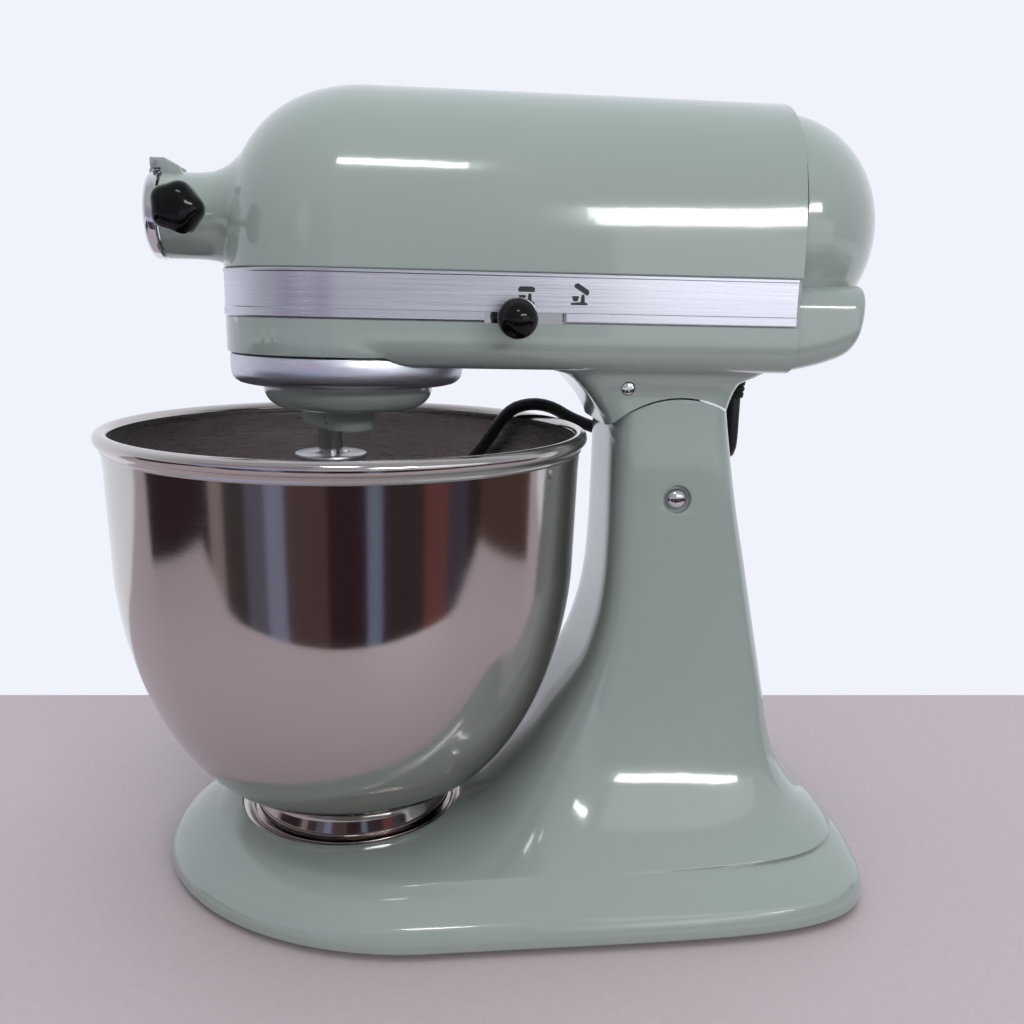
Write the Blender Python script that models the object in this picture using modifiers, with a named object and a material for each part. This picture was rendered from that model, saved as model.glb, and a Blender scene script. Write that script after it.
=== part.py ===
"""A tilt-head stand mixer with its bowl, dough hook and mains cord.

Every piece is modelled about the bowl's axis: +X runs back to the column and
the motor's rear cover, +Z is up and Z = 0 is the surface that the feet stand on.
An empty then carries the whole mixer so that its box is centred on the origin.
"""

import math

import bmesh
import bpy
from mathutils import Matrix, Vector

# Driving dimensions, in metres. Positions are measured from the bowl's axis.
GAP = 0.0003                 # left between pieces that touch
REAR_REACH = 0.2415          # bowl axis to the back of the rear cover

# Bowl
RIM_RADIUS = 0.111
RIM_ROLL = 0.0032            # radius of the rolled edge
RIM_Z = 0.2056               # centre of the rolled edge
WALL_TOP_RADIUS = RIM_RADIUS - 0.0035
WALL_MID_RADIUS = RIM_RADIUS - 0.0040
WALL_LOW_RADIUS = RIM_RADIUS - 0.0048
WALL_LOW_Z = 0.150           # where the straight wall turns into the round bottom
BOWL_WALL = 0.0012
BOWL_ROUNDNESS = 1.8
BOWL_BASE_Z = 0.037
FOOT_RADIUS = 0.0475
FOOT_WALL = 0.003

# Clamp plate under the bowl
PLATE_RADIUS = 0.0546
PLATE_Z = 0.0168
PLATE_TOP_Z = 0.0226
PLATE_FLOOR_Z = 0.0195
PLATE_BOSS_RADIUS = 0.0385
PLATE_BOSS_Z = 0.025
LUG_ANGLE = math.radians(24)
LUG_COUNT = 3
SCREW_CIRCLE = 0.028
SCREW_COUNT = 3

# Base and column
BASE_Z = 0.003
SHELL_WALL = 0.005
FOOT_PAD_RADIUS = 0.010
FOOT_STEM_RADIUS = 0.0045
FOOT_STEM_TOP = 0.009
FOOT_PLACES = ((-0.056, 0.045), (-0.056, -0.045), (0.215, 0.070), (0.215, -0.070), (0.068, 0.0))

# Tilt hinge at the top of the column
PIVOT_X = 0.1484
PIVOT_Z = 0.1802
PIN_RADIUS = 0.0048
COLUMN_HALF = 0.036
CAP_RADIUS = 0.0450          # rounded top of the column
CRADLE_RADIUS = 0.0462       # hollow under the head's neck that turns over it
TONGUE_HALF = 0.0150
TONGUE_RADIUS = 0.0145
SLOT_SIDE_GAP = 0.0010

# Head
HEAD_HALF = 0.0536
HEAD_WALL = 0.003
HEAD_TOP = 0.3555
NOSE_CENTRE = 0.015          # where the ridge of the roof starts
SHOULDER_Z = 0.2779
SEAM_X = 0.1925              # plane where the rear cover meets the head
ROOF_SQUARENESS = 2.5
BAND_LOW = 0.2580
BAND_HIGH = 0.2776
BAND_DEPTH = 0.0012
BAND_PROUD = 0.0004
SPLIT_Z = 0.2676             # joint between gearcase and motor housing, under the band
COVER_SCREW_Z = 0.2800
UNDER_Z = 0.2378
FRONT_Z = 0.2421             # underside of the round front of the gearcase
FLOOR_Z = 0.2487

# Attachment hub on the nose
HUB_RADIUS = 0.0183
HUB_BORE = 0.0125
HUB_Z = 0.2998
HUB_FRONT = -0.0776
COVER_DEPTH = 0.0062
COVER_PIVOT_X = -0.0797
COVER_PIVOT_Z = 0.3210
KNOB_X = -0.0645
KNOB_Y = -0.040
KNOB_RADIUS = 0.0103

# Planetary drive
RING_TEETH = 72
PINION_TEETH = 18
MODULE = 0.001
ORBIT = MODULE * (RING_TEETH - PINION_TEETH) / 2
PLANET_ANGLE = math.radians(113.7)
RING_OUTER = 0.0415
DRIP_RADIUS = 0.0523
DRIP_LOW = 0.2284
CARRIER_RADIUS = 0.0386
CARRIER_LOW = 0.2167
CARRIER_TOP = 0.2346
BOSS_LOW = 0.2063
BOSS_CENTRE_RADIUS = 0.0115
BOSS_SHAFT_RADIUS = 0.0137
CENTRE_SHAFT_RADIUS = 0.0055
AGITATOR_RADIUS = 0.0058
AGITATOR_LOW = 0.172
COLLAR_RADIUS = 0.0177
COLLAR_TOP = 0.1919
COLLAR_THICKNESS = 0.0026
HOOK_WIRE = 0.0062

# Gear train inside the head
BEVEL_FACE_Z = 0.283
BEVEL_OUTER = 0.0235
BEVEL_INNER = 0.0165
WHEEL_Z = 0.295
WHEEL_RADIUS = 0.0155
WHEEL_HALF = 0.005
WORM_RADIUS = 0.0065
MOTOR_Z = WHEEL_Z + WHEEL_RADIUS + WORM_RADIUS + 0.0006
ARMATURE_RADIUS = 0.004
ROTOR_RADIUS = 0.020
STATOR_INNER = 0.0225
STATOR_OUTER = 0.030

# Levers in the trim band
SLOT_LOW = 0.2575
SLOT_HIGH = 0.2618
LEVER_Z = 0.2595
LOCK_SLOT = (0.0581, 0.0924)
LOCK_X = 0.0707
SPEED_SLOT = (0.0450, 0.0924)
SPEED_X = 0.0482
LEVER_KNOB_RADIUS = 0.0082
LEVER_KNOB_Y = HEAD_HALF + 0.0126

# Mains cord
CORD_RADIUS = 0.00325
CORD_EXIT = (0.1865, 0.006, 0.2225)
COIL_INNER = RIM_RADIUS - 0.0295
COIL_OUTER = RIM_RADIUS - 0.0165
COIL_LOW = 0.0980
COIL_TOP = 0.1046
PLUG_START = math.radians(60)
PLUG_LENGTH = 0.036
PLUG_RADIUS = 0.0085

BAND_HALF = HEAD_HALF + BAND_PROUD - BAND_DEPTH - GAP
BAND_OUTER = HEAD_HALF + BAND_PROUD
SLOT_OUT = HEAD_HALF + 0.0064
SLOT_IN = HEAD_HALF - 0.0086


def clear_scene():
    """Empty the file, whatever it opened with."""
    for old in list(bpy.data.objects):
        bpy.data.objects.remove(old, do_unlink=True)


def new_collection(name):
    made = bpy.data.collections.new(name)
    bpy.context.scene.collection.children.link(made)
    return made


clear_scene()
PARTS = new_collection("stand_mixer")
CUTTERS = new_collection("cutters")
AXIS = bpy.data.objects.new("bowl_axis", None)
AXIS.location = ((RIM_RADIUS - REAR_REACH) / 2, 0.0, 0.0)
PARTS.objects.link(AXIS)

ENAMEL = ("green_enamel", (0.35, 0.43, 0.37), 0.12, 0.0)
STEEL = ("polished_steel", (0.62, 0.60, 0.59), 0.18, 1.0)
BRUSHED = ("brushed_trim", (0.60, 0.60, 0.62), 0.35, 1.0)
CHROME = ("chrome", (0.80, 0.80, 0.82), 0.08, 1.0)
BLACK = ("black_plastic", (0.01, 0.01, 0.011), 0.15, 0.0)
RUBBER = ("black_rubber", (0.02, 0.02, 0.02), 0.7, 0.0)
ALUMINIUM = ("cast_aluminium", (0.55, 0.55, 0.56), 0.4, 1.0)
BRONZE = ("bronze", (0.55, 0.36, 0.16), 0.35, 1.0)
COPPER = ("copper", (0.70, 0.34, 0.20), 0.3, 1.0)
LAMINATION = ("laminated_iron", (0.18, 0.18, 0.19), 0.5, 1.0)
CARBON = ("carbon", (0.03, 0.03, 0.03), 0.6, 0.0)
BOARD = ("board_laminate", (0.30, 0.22, 0.10), 0.6, 0.0)


def material(node, finish):
    """A Principled material of the piece's own, from a named finish."""
    kind, colour, roughness, metallic = finish
    made = bpy.data.materials.new(f"{node}_{kind}")
    made.use_nodes = True
    shader = made.node_tree.nodes["Principled BSDF"]
    shader.inputs["Base Color"].default_value = (*colour, 1.0)
    shader.inputs["Roughness"].default_value = roughness
    shader.inputs["Metallic"].default_value = metallic
    return made


def place(name, mesh, finish=None, at=(0, 0, 0), turn=(0, 0, 0)):
    """Put a mesh or curve in the scene: a piece if it has a finish, else a cutter."""
    item = bpy.data.objects.new(name, mesh)
    item.parent = AXIS
    item.location = at
    item.rotation_euler = turn
    if finish is None:
        CUTTERS.objects.link(item)
        item.hide_render = True
        item.display_type = "WIRE"
    else:
        PARTS.objects.link(item)
        mesh.materials.append(material(name, finish))
    return item


ALONG_X = (0, math.pi / 2, 0)
ALONG_Y = (-math.pi / 2, 0, 0)


def to_mesh(name, form):
    """Turn a bmesh into a smooth-shaded mesh with its hard edges kept."""
    bmesh.ops.recalc_face_normals(form, faces=form.faces)
    mesh = bpy.data.meshes.new(name)
    form.to_mesh(mesh)
    form.free()
    mesh.shade_smooth()
    mesh.set_sharp_from_angle(angle=math.radians(35))
    return mesh


def rod(name, radius, low, high, finish=None, at=(0, 0, 0), turn=(0, 0, 0), sides=24):
    """A plain round bar from low to high along its own Z."""
    form = bmesh.new()
    bmesh.ops.create_cone(form, cap_ends=True, segments=sides, radius1=radius, radius2=radius,
                          depth=high - low, matrix=Matrix.Translation((0, 0, (low + high) / 2)))
    return place(name, to_mesh(name, form), finish, at, turn)


def block(name, low, high, finish=None):
    """A box between two corners."""
    size = Vector(high) - Vector(low)
    middle = (Vector(high) + Vector(low)) / 2
    form = bmesh.new()
    bmesh.ops.create_cube(form, size=1.0, matrix=Matrix.Translation(middle) @ Matrix.Diagonal((*size, 1.0)))
    return place(name, to_mesh(name, form), finish)


def prism(name, outline, low, high, finish=None, at=(0, 0, 0), turn=(0, 0, 0)):
    """A flat outline in XY, pulled up from low to high."""
    form = bmesh.new()
    ring = [form.verts.new((x, y, low)) for x, y in outline]
    face = form.faces.new(ring)
    pulled = bmesh.ops.extrude_face_region(form, geom=[face])
    moved = [part for part in pulled["geom"] if isinstance(part, bmesh.types.BMVert)]
    bmesh.ops.translate(form, verts=moved, vec=(0, 0, high - low))
    return place(name, to_mesh(name, form), finish, at, turn)


def turned(name, profile, finish=None, at=(0, 0, 0), turn=(0, 0, 0), closed=False, sides=40):
    """A turned piece: its profile, radius and height, runs down the outer side."""
    mesh = bpy.data.meshes.new(name)
    edges = [(i, i + 1) for i in range(len(profile) - 1)]
    if closed:
        edges.append((len(profile) - 1, 0))
    mesh.from_pydata([(r, 0, z) for r, z in profile], edges, [])
    item = place(name, mesh, finish, at, turn)
    screw = item.modifiers.new("turn", "SCREW")
    screw.steps = sides
    screw.render_steps = sides
    screw.use_merge_vertices = True
    screw.merge_threshold = 0.00001
    screw.use_smooth_shade = True
    return item


def ring(name, inner, outer, low, high, finish=None, at=(0, 0, 0), turn=(0, 0, 0), sides=32):
    """A turned washer, bush or sleeve."""
    profile = ((inner, high), (outer, high), (outer, low), (inner, low))
    return turned(name, profile, finish, at, turn, closed=True, sides=sides)


def loft(name, sections, finish=None):
    """A skin over closed sections with the same number of points, capped at both ends."""
    form = bmesh.new()
    rows = [[form.verts.new(point) for point in section] for section in sections]
    count = len(rows[0])
    for lower, upper in zip(rows, rows[1:]):
        for i in range(count):
            j = (i + 1) % count
            form.faces.new((lower[i], lower[j], upper[j], upper[i]))
    form.faces.new(rows[0])
    form.faces.new(rows[-1])
    return place(name, to_mesh(name, form), finish)


def join(item, tool, operation):
    """Cut, join or keep what is shared with another solid."""
    step = item.modifiers.new(tool.name, "BOOLEAN")
    step.operation = operation
    step.object = tool
    step.solver = "EXACT"


def cut(item, *tools):
    for tool in tools:
        join(item, tool, "DIFFERENCE")


def add(item, *tools):
    for tool in tools:
        join(item, tool, "UNION")


def bevel(item, width, segments=2, angle=30):
    step = item.modifiers.new("edges", "BEVEL")
    step.width = width
    step.segments = segments
    step.limit_method = "ANGLE"
    step.angle_limit = math.radians(angle)


def tube(name, points, radius, finish, resolution=2):
    """A round cord or wire along a smooth run of points."""
    curve = bpy.data.curves.new(name, "CURVE")
    curve.dimensions = "3D"
    curve.bevel_depth = radius
    curve.bevel_resolution = resolution
    curve.use_fill_caps = True
    line = curve.splines.new("POLY")
    line.points.add(len(points) - 1)
    for spot, point in zip(line.points, points):
        spot.co = (*point, 1.0)
    return place(name, curve, finish)


def tube_as_mesh(item):
    """Swap a curve for the mesh it draws, with its end caps welded on."""
    bpy.context.view_layer.update()
    graph = bpy.context.evaluated_depsgraph_get()
    mesh = bpy.data.meshes.new_from_object(item.evaluated_get(graph))
    form = bmesh.new()
    form.from_mesh(mesh)
    bmesh.ops.remove_doubles(form, verts=form.verts, dist=0.00001)
    bmesh.ops.recalc_face_normals(form, faces=form.faces)
    form.to_mesh(mesh)
    form.free()
    name = item.name
    swapped = bpy.data.objects.new(f"{name}_mesh", mesh)
    CUTTERS.objects.link(swapped)
    swapped.matrix_world = item.matrix_world
    swapped.hide_render = True
    swapped.display_type = "WIRE"
    bpy.data.objects.remove(item, do_unlink=True)
    return swapped


def smooth_run(route, spacing):
    """Evenly spaced points on a smooth curve through a route's own points."""
    route = [Vector(point) for point in route]
    ends = [2 * route[0] - route[1], *route, 2 * route[-1] - route[-2]]
    fine = []
    for before, start, end, after in zip(ends, ends[1:], ends[2:], ends[3:]):
        for step in range(20):
            t = step / 20
            fine.append(0.5 * (2 * start + (end - before) * t
                               + (2 * before - 5 * start + 4 * end - after) * t ** 2
                               + (3 * start - before - 3 * end + after) * t ** 3))
    fine.append(route[-1])
    length = sum((b - a).length for a, b in zip(fine, fine[1:]))
    count = max(2, round(length / spacing))
    points = [fine[0]]
    walked = 0.0
    for a, b in zip(fine, fine[1:]):
        walked += (b - a).length
        if walked >= len(points) * length / count - 1e-9:
            points.append(b)
    points[-1] = fine[-1]
    return points


def spot(radius, angle, z):
    return (radius * math.cos(angle), radius * math.sin(angle), z)


def signed_power(value, power):
    return math.copysign(abs(value) ** power, value)


def arc(cx, cy, radius, start, stop, steps):
    """Points on an arc, angles in degrees."""
    angles = [math.radians(start + (stop - start) * i / steps) for i in range(steps + 1)]
    return [(cx + radius * math.cos(a), cy + radius * math.sin(a)) for a in angles]


def toothed(teeth, root, tip, root_share, tip_share, phase):
    """A gear's outline: straight-sided teeth, the first one centred on the phase."""
    pitch = 2 * math.pi / teeth
    outline = []
    for i in range(teeth):
        middle = phase + i * pitch
        for radius, share in ((root, -root_share), (tip, -tip_share), (tip, tip_share), (root, root_share)):
            angle = middle + share * pitch / 2
            outline.append((radius * math.cos(angle), radius * math.sin(angle)))
    return outline


# ---------------------------------------------------------------- base and column
# One casting: a low round-fronted base that sweeps up into the column.
# Each section: height, front, rear, widest place, half width, roundness front and rear.
CASTING_SECTIONS = (
    (0.0030, -0.0890, 0.2400, 0.035, 0.1050, 2.0, 6.0),
    (0.0075, -0.0888, 0.2398, 0.035, 0.1050, 2.0, 6.0),
    (0.0120, -0.0850, 0.2392, 0.035, 0.1030, 2.0, 6.0),
    (0.0160, -0.0785, 0.2380, 0.036, 0.0990, 2.0, 5.5),
    (0.0200, -0.0690, 0.2362, 0.038, 0.0935, 2.1, 5.0),
    (0.0235, -0.0575, 0.2335, 0.042, 0.0870, 2.2, 4.5),
    (0.0250, 0.0300, 0.2315, 0.100, 0.0850, 3.0, 4.5),
    (0.0275, 0.0520, 0.2295, 0.110, 0.0815, 3.0, 4.5),
    (0.0385, 0.0697, 0.2170, 0.125, 0.0700, 3.5, 4.2),
    (0.0533, 0.0834, 0.2075, 0.134, 0.0595, 4.0, 4.2),
    (0.0705, 0.0947, 0.2020, 0.140, 0.0525, 4.5, 4.5),
    (0.0852, 0.1035, 0.1990, 0.143, 0.0480, 5.0, 5.0),
    (0.1094, 0.1135, 0.1945, 0.1465, 0.0435, 5.5, 5.0),
    (0.1250, 0.1170, 0.1915, 0.1465, 0.0412, 5.5, 5.0),
    (0.1680, 0.1195, 0.1825, 0.1465, 0.0377, 5.5, 5.0),
    (0.2167, 0.1195, 0.1737, 0.1465, COLUMN_HALF, 5.5, 5.0),
    (0.2300, 0.1195, 0.1720, 0.1465, COLUMN_HALF, 5.5, 5.0),
)


def casting_section(section, points, inset=0.0, drop=0.0):
    """A closed outline, round at the front and squarer at the back."""
    z, front, rear, middle, half, front_round, rear_round = section
    outline = []
    for i in range(points):
        angle = 2 * math.pi * i / points
        along, across = math.cos(angle), math.sin(angle)
        reach = rear - inset - middle if along > 0 else middle - front - inset
        roundness = rear_round if along > 0 else front_round
        outline.append((middle + reach * signed_power(along, 2 / roundness),
                        (half - inset) * signed_power(across, 2 / roundness), z - drop))
    return outline


def build_base():
    casting = loft("pedestal", [casting_section(s, 40) for s in CASTING_SECTIONS], ENAMEL)
    hollow_rows = [casting_section(s, 24, SHELL_WALL, SHELL_WALL) for s in CASTING_SECTIONS[:14:2]]
    hollow = loft("base_hollow", hollow_rows)
    cut(casting, hollow)
    seat = rod("plate_seat_boss", PLATE_RADIUS + 0.004, PLATE_Z - 0.007, PLATE_FLOOR_Z, sides=36)
    add(casting, seat)
    for i, (x, y) in enumerate(FOOT_PLACES):
        boss = rod(f"foot_boss_{i + 1}", FOOT_STEM_RADIUS + 0.006, BASE_Z, PLATE_Z - 0.004, at=(x, y, 0), sides=12)
        add(casting, boss)
    recess = rod("plate_recess", PLATE_RADIUS + 0.0006, PLATE_Z - GAP, 0.05, sides=36)
    cut(casting, recess)
    for i, (x, y) in enumerate(FOOT_PLACES):
        hole = rod(f"foot_hole_{i + 1}", FOOT_STEM_RADIUS + GAP, -0.01, FOOT_STEM_TOP + GAP, at=(x, y, 0), sides=12)
        cut(casting, hole)

    above = [(PIVOT_X + 0.08, PIVOT_Z + 0.006), (PIVOT_X + 0.08, 0.26),
             (PIVOT_X - 0.08, 0.26), (PIVOT_X - 0.08, PIVOT_Z + 0.006)]
    crown = [*arc(PIVOT_X, PIVOT_Z, CAP_RADIUS, 172, 8, 24), *above]
    cut(casting, xz_prism("column_crown", crown, -0.06, 0.06))
    half = TONGUE_RADIUS + 0.002
    fork = [*arc(PIVOT_X, PIVOT_Z, half, 180, 270, 6), (PIVOT_X + half, PIVOT_Z - half),
            (PIVOT_X + 0.06, PIVOT_Z - half - 0.006), (PIVOT_X + 0.06, 0.25), (PIVOT_X - half, 0.25)]
    cut(casting, xz_prism("column_fork", fork, -TONGUE_HALF - SLOT_SIDE_GAP, TONGUE_HALF + SLOT_SIDE_GAP))
    cut(casting, rod("pin_bore", PIN_RADIUS + GAP, -0.06, 0.06, at=(PIVOT_X, 0, PIVOT_Z), turn=ALONG_Y))
    for i in range(SCREW_COUNT):
        angle = 2 * math.pi * i / SCREW_COUNT + 0.3
        x, y, _ = spot(SCREW_CIRCLE, angle, 0)
        cut(casting, rod(f"plate_screw_hole_{i + 1}", 0.0024, PLATE_Z - 0.005, 0.03, at=(x, y, 0), sides=12))


def xz_prism(name, outline, low, high, finish=None):
    """A prism across the mixer, from an outline of (x, z) points."""
    flat = [(x, -z) for x, z in outline]
    return prism(name, flat, low, high, finish, turn=ALONG_Y)


def build_feet():
    profile = ((0, FOOT_STEM_TOP), (FOOT_STEM_RADIUS, FOOT_STEM_TOP), (FOOT_STEM_RADIUS, BASE_Z - GAP),
               (FOOT_PAD_RADIUS, BASE_Z - GAP), (FOOT_PAD_RADIUS, 0.0008), (FOOT_PAD_RADIUS - 0.0008, 0.0), (0, 0.0))
    for i, (x, y) in enumerate(FOOT_PLACES):
        turned(f"foot_{i + 1}", profile, RUBBER, at=(x, y, 0), sides=12)


def arc_block(name, inner, outer, low, high, middle, width, finish=None):
    """A piece of a ring, for the bayonet's lugs and tabs."""
    a, b = math.degrees(middle - width / 2), math.degrees(middle + width / 2)
    outline = [*arc(0, 0, outer, a, b, 5), *arc(0, 0, inner, b, a, 5)]
    return prism(name, outline, low, high, finish)


def build_clamp_plate():
    profile = ((0, PLATE_BOSS_Z), (PLATE_BOSS_RADIUS, PLATE_BOSS_Z), (PLATE_BOSS_RADIUS, PLATE_FLOOR_Z),
               (PLATE_RADIUS - 0.0042, PLATE_FLOOR_Z), (PLATE_RADIUS - 0.0006, PLATE_TOP_Z),
               (PLATE_RADIUS, PLATE_TOP_Z - 0.0004), (PLATE_RADIUS - 0.003, PLATE_Z), (0, PLATE_Z))
    plate = turned("clamp_plate", profile, STEEL, sides=36)
    for i in range(LUG_COUNT):
        middle = 2 * math.pi * i / LUG_COUNT
        add(plate, arc_block(f"plate_lug_{i + 1}", PLATE_BOSS_RADIUS - 0.002, FOOT_RADIUS - FOOT_WALL - 0.0012,
                             PLATE_FLOOR_Z + 0.0027, PLATE_BOSS_Z - 0.0004, middle, LUG_ANGLE))
    shank_low = PLATE_Z - 0.0045
    head = ((0, PLATE_BOSS_Z + 0.0024), (0.0025, PLATE_BOSS_Z + 0.0024), (0.0042, PLATE_BOSS_Z + 0.0012),
            (0.0042, PLATE_BOSS_Z + GAP), (0.0021, PLATE_BOSS_Z + GAP), (0.0021, shank_low), (0, shank_low))
    for i in range(SCREW_COUNT):
        angle = 2 * math.pi * i / SCREW_COUNT + 0.3
        place_at = spot(SCREW_CIRCLE, angle, 0)
        cut(plate, rod(f"plate_hole_{i + 1}", 0.0024, 0.01, 0.03, at=place_at, sides=12))
        turned(f"plate_screw_{i + 1}", head, CHROME, at=place_at, sides=12)


def build_bowl():
    """Spun steel bowl: rolled rim, tapered wall, round bottom and a bayonet foot."""
    def wall(inset):
        points = [(WALL_TOP_RADIUS - inset, RIM_Z - RIM_ROLL - 0.0008), (WALL_MID_RADIUS - inset, 0.18)]
        for i in range(9):
            angle = math.pi / 2 * i / 8
            across = math.cos(angle) ** (2 / BOWL_ROUNDNESS)
            down = math.sin(angle) ** (2 / BOWL_ROUNDNESS)
            points.append((FOOT_RADIUS + (WALL_LOW_RADIUS - FOOT_RADIUS) * across - inset,
                           WALL_LOW_Z - (WALL_LOW_Z - BOWL_BASE_Z) * down + inset))
        return points
    roll_centre = RIM_RADIUS - RIM_ROLL
    rim = arc(roll_centre, RIM_Z, RIM_ROLL, 235, -60, 6)
    inner = wall(BOWL_WALL)
    outer = wall(0.0)
    tab_top = PLATE_FLOOR_Z + 0.0020
    foot = [(FOOT_RADIUS, PLATE_FLOOR_Z + GAP), (FOOT_RADIUS - FOOT_WALL, PLATE_FLOOR_Z + GAP),
            (FOOT_RADIUS - FOOT_WALL, BOWL_BASE_Z - 0.001), (0, BOWL_BASE_Z - 0.001)]
    profile = [(0, BOWL_BASE_Z + BOWL_WALL), *reversed(inner), *rim, *outer, *foot]
    bowl = turned("bowl", profile, STEEL, sides=44)
    for i in range(LUG_COUNT):
        middle = 2 * math.pi * i / LUG_COUNT
        add(bowl, arc_block(f"bowl_tab_{i + 1}", PLATE_BOSS_RADIUS + 0.0014, FOOT_RADIUS - FOOT_WALL + 0.001,
                            PLATE_FLOOR_Z + GAP, tab_top, middle, LUG_ANGLE))



def build_hinge():
    end = COLUMN_HALF + 0.0016
    profile = ((0, end), (0.0028, end - 0.0004), (PIN_RADIUS, end - 0.0016), (PIN_RADIUS, -end + 0.0016),
               (0.0028, -end + 0.0004), (0, -end))
    turned("hinge_pin", profile, CHROME, at=(PIVOT_X, 0, PIVOT_Z), turn=ALONG_Y, sides=24)


# ---------------------------------------------------------------- head castings
def head_outline(half, rear, sides=3, nose=16):
    """Plan outline of the head: straight sides and a half-round nose about the bowl's axis."""
    straight = [(rear + (0 - rear) * i / sides, -half) for i in range(sides)]
    front = arc(0, 0, half, 270, 90, nose)
    back = [(rear * i / sides, half) for i in range(1, sides + 1)]
    return [*straight, *front, *back]


def head_ring(half, rear, z):
    return [(x, y, z) for x, y in head_outline(half, rear)]


def build_gearcase():
    rear = SEAM_X - GAP
    levels = ((UNDER_Z, 0.0400), (UNDER_Z + 0.0008, 0.0440), (UNDER_Z + 0.003, 0.0482), (UNDER_Z + 0.0065, 0.0512),
              (UNDER_Z + 0.0115, 0.0530), (BAND_LOW - GAP - 0.002, HEAD_HALF), (BAND_LOW - GAP, HEAD_HALF),
              (BAND_LOW - GAP + 0.00005, BAND_HALF), (SPLIT_Z - GAP, BAND_HALF))
    case = loft("gearcase", [head_ring(half, rear, z) for z, half in levels], ENAMEL)
    add(case, rod("gearcase_front", HEAD_HALF, FRONT_Z, BAND_LOW - 0.004, sides=32))
    neck = [(0.080, 0.246), (0.0873, UNDER_Z + 0.0002), (0.0981, 0.2348), (0.1055, 0.2300), (0.1135, 0.2245),
            (0.1210, 0.2186), (PIVOT_X, PIVOT_Z), (0.1705, 0.2200), (0.1756, 0.2320), (0.1843, 0.2362),
            (0.1900, UNDER_Z + 0.0004), (0.1900, 0.246)]
    add(case, xz_prism("neck_block", neck, -COLUMN_HALF, COLUMN_HALF))
    cut(case, rod("neck_cradle", CRADLE_RADIUS, -0.06, 0.06, at=(PIVOT_X, 0, PIVOT_Z), turn=ALONG_Y, sides=48))
    tongue = [*arc(PIVOT_X, PIVOT_Z, TONGUE_RADIUS, 180, 360, 12), (PIVOT_X + TONGUE_RADIUS, 0.236),
              (PIVOT_X - TONGUE_RADIUS, 0.236)]
    add(case, xz_prism("neck_tongue", tongue, -TONGUE_HALF, TONGUE_HALF))
    cut(case, rod("tongue_bore", PIN_RADIUS + GAP, -0.06, 0.06, at=(PIVOT_X, 0, PIVOT_Z), turn=ALONG_Y))
    inner = [head_ring(HEAD_HALF - HEAD_WALL - 0.0011, SEAM_X - HEAD_WALL - GAP, z) for z in (FLOOR_Z, 0.28)]
    cut(case, loft("gearcase_hollow", inner))
    cut(case, rod("drip_ring_seat", DRIP_RADIUS + 0.0012, 0.20, FRONT_Z, sides=32))
    cut(case, rod("ring_gear_seat", RING_OUTER + GAP, 0.20, FLOOR_Z - 0.004, sides=36))
    cut(case, rod("centre_shaft_bore", CENTRE_SHAFT_RADIUS + 0.0004, 0.20, 0.26))
    cut(case, block("lock_slot_cut", (LOCK_SLOT[0], -SLOT_OUT, SLOT_LOW), (LOCK_SLOT[1], -SLOT_IN, SLOT_HIGH)))
    cut(case, block("speed_slot_cut", (SPEED_SLOT[0], SLOT_IN, SLOT_LOW), (SPEED_SLOT[1], SLOT_OUT, SLOT_HIGH)))
    cut(case, rod("gland_seat", 0.0058, 0.22, 0.2460, at=(CORD_EXIT[0], CORD_EXIT[1], 0), sides=20))
    cut(case, rod("neck_screw_hole", 0.0020, -0.05, -0.0275, at=(0.1235, 0, 0.2299), turn=ALONG_Y, sides=16))


def roof_rib(half, top, steps):
    """One rib of the roof: share of the way in, and height, from the band up to the ridge."""
    rib = [((half - BAND_HALF) / half, SPLIT_Z), ((half - BAND_HALF) / half, SHOULDER_Z - 0.0001), (0.0, SHOULDER_Z)]
    for i in range(1, steps + 1):
        angle = math.pi / 2 * i / steps
        rib.append((1 - abs(math.cos(angle)) ** (2 / ROOF_SQUARENESS),
                    SHOULDER_Z + (top - SHOULDER_Z) * math.sin(angle) ** (2 / ROOF_SQUARENESS)))
    return rib


def roof_shell(name, finish):
    """The roof as an open skin: ribs from the plan outline in to the ridge line."""
    outline = head_outline(HEAD_HALF, SEAM_X - GAP, sides=3, nose=18)
    rib = roof_rib(HEAD_HALF, HEAD_TOP, 7)
    form = bmesh.new()
    rows = []
    for x, y in outline:
        ridge = max(x, NOSE_CENTRE)
        rows.append([form.verts.new((x + (ridge - x) * share, y * (1 - share), z)) for share, z in rib])
    for here, after in zip(rows, rows[1:]):
        for i in range(len(rib) - 1):
            form.faces.new((here[i], after[i], after[i + 1], here[i + 1]))
    bmesh.ops.remove_doubles(form, verts=form.verts, dist=0.00001)
    return place(name, to_mesh(name, form), finish)


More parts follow.
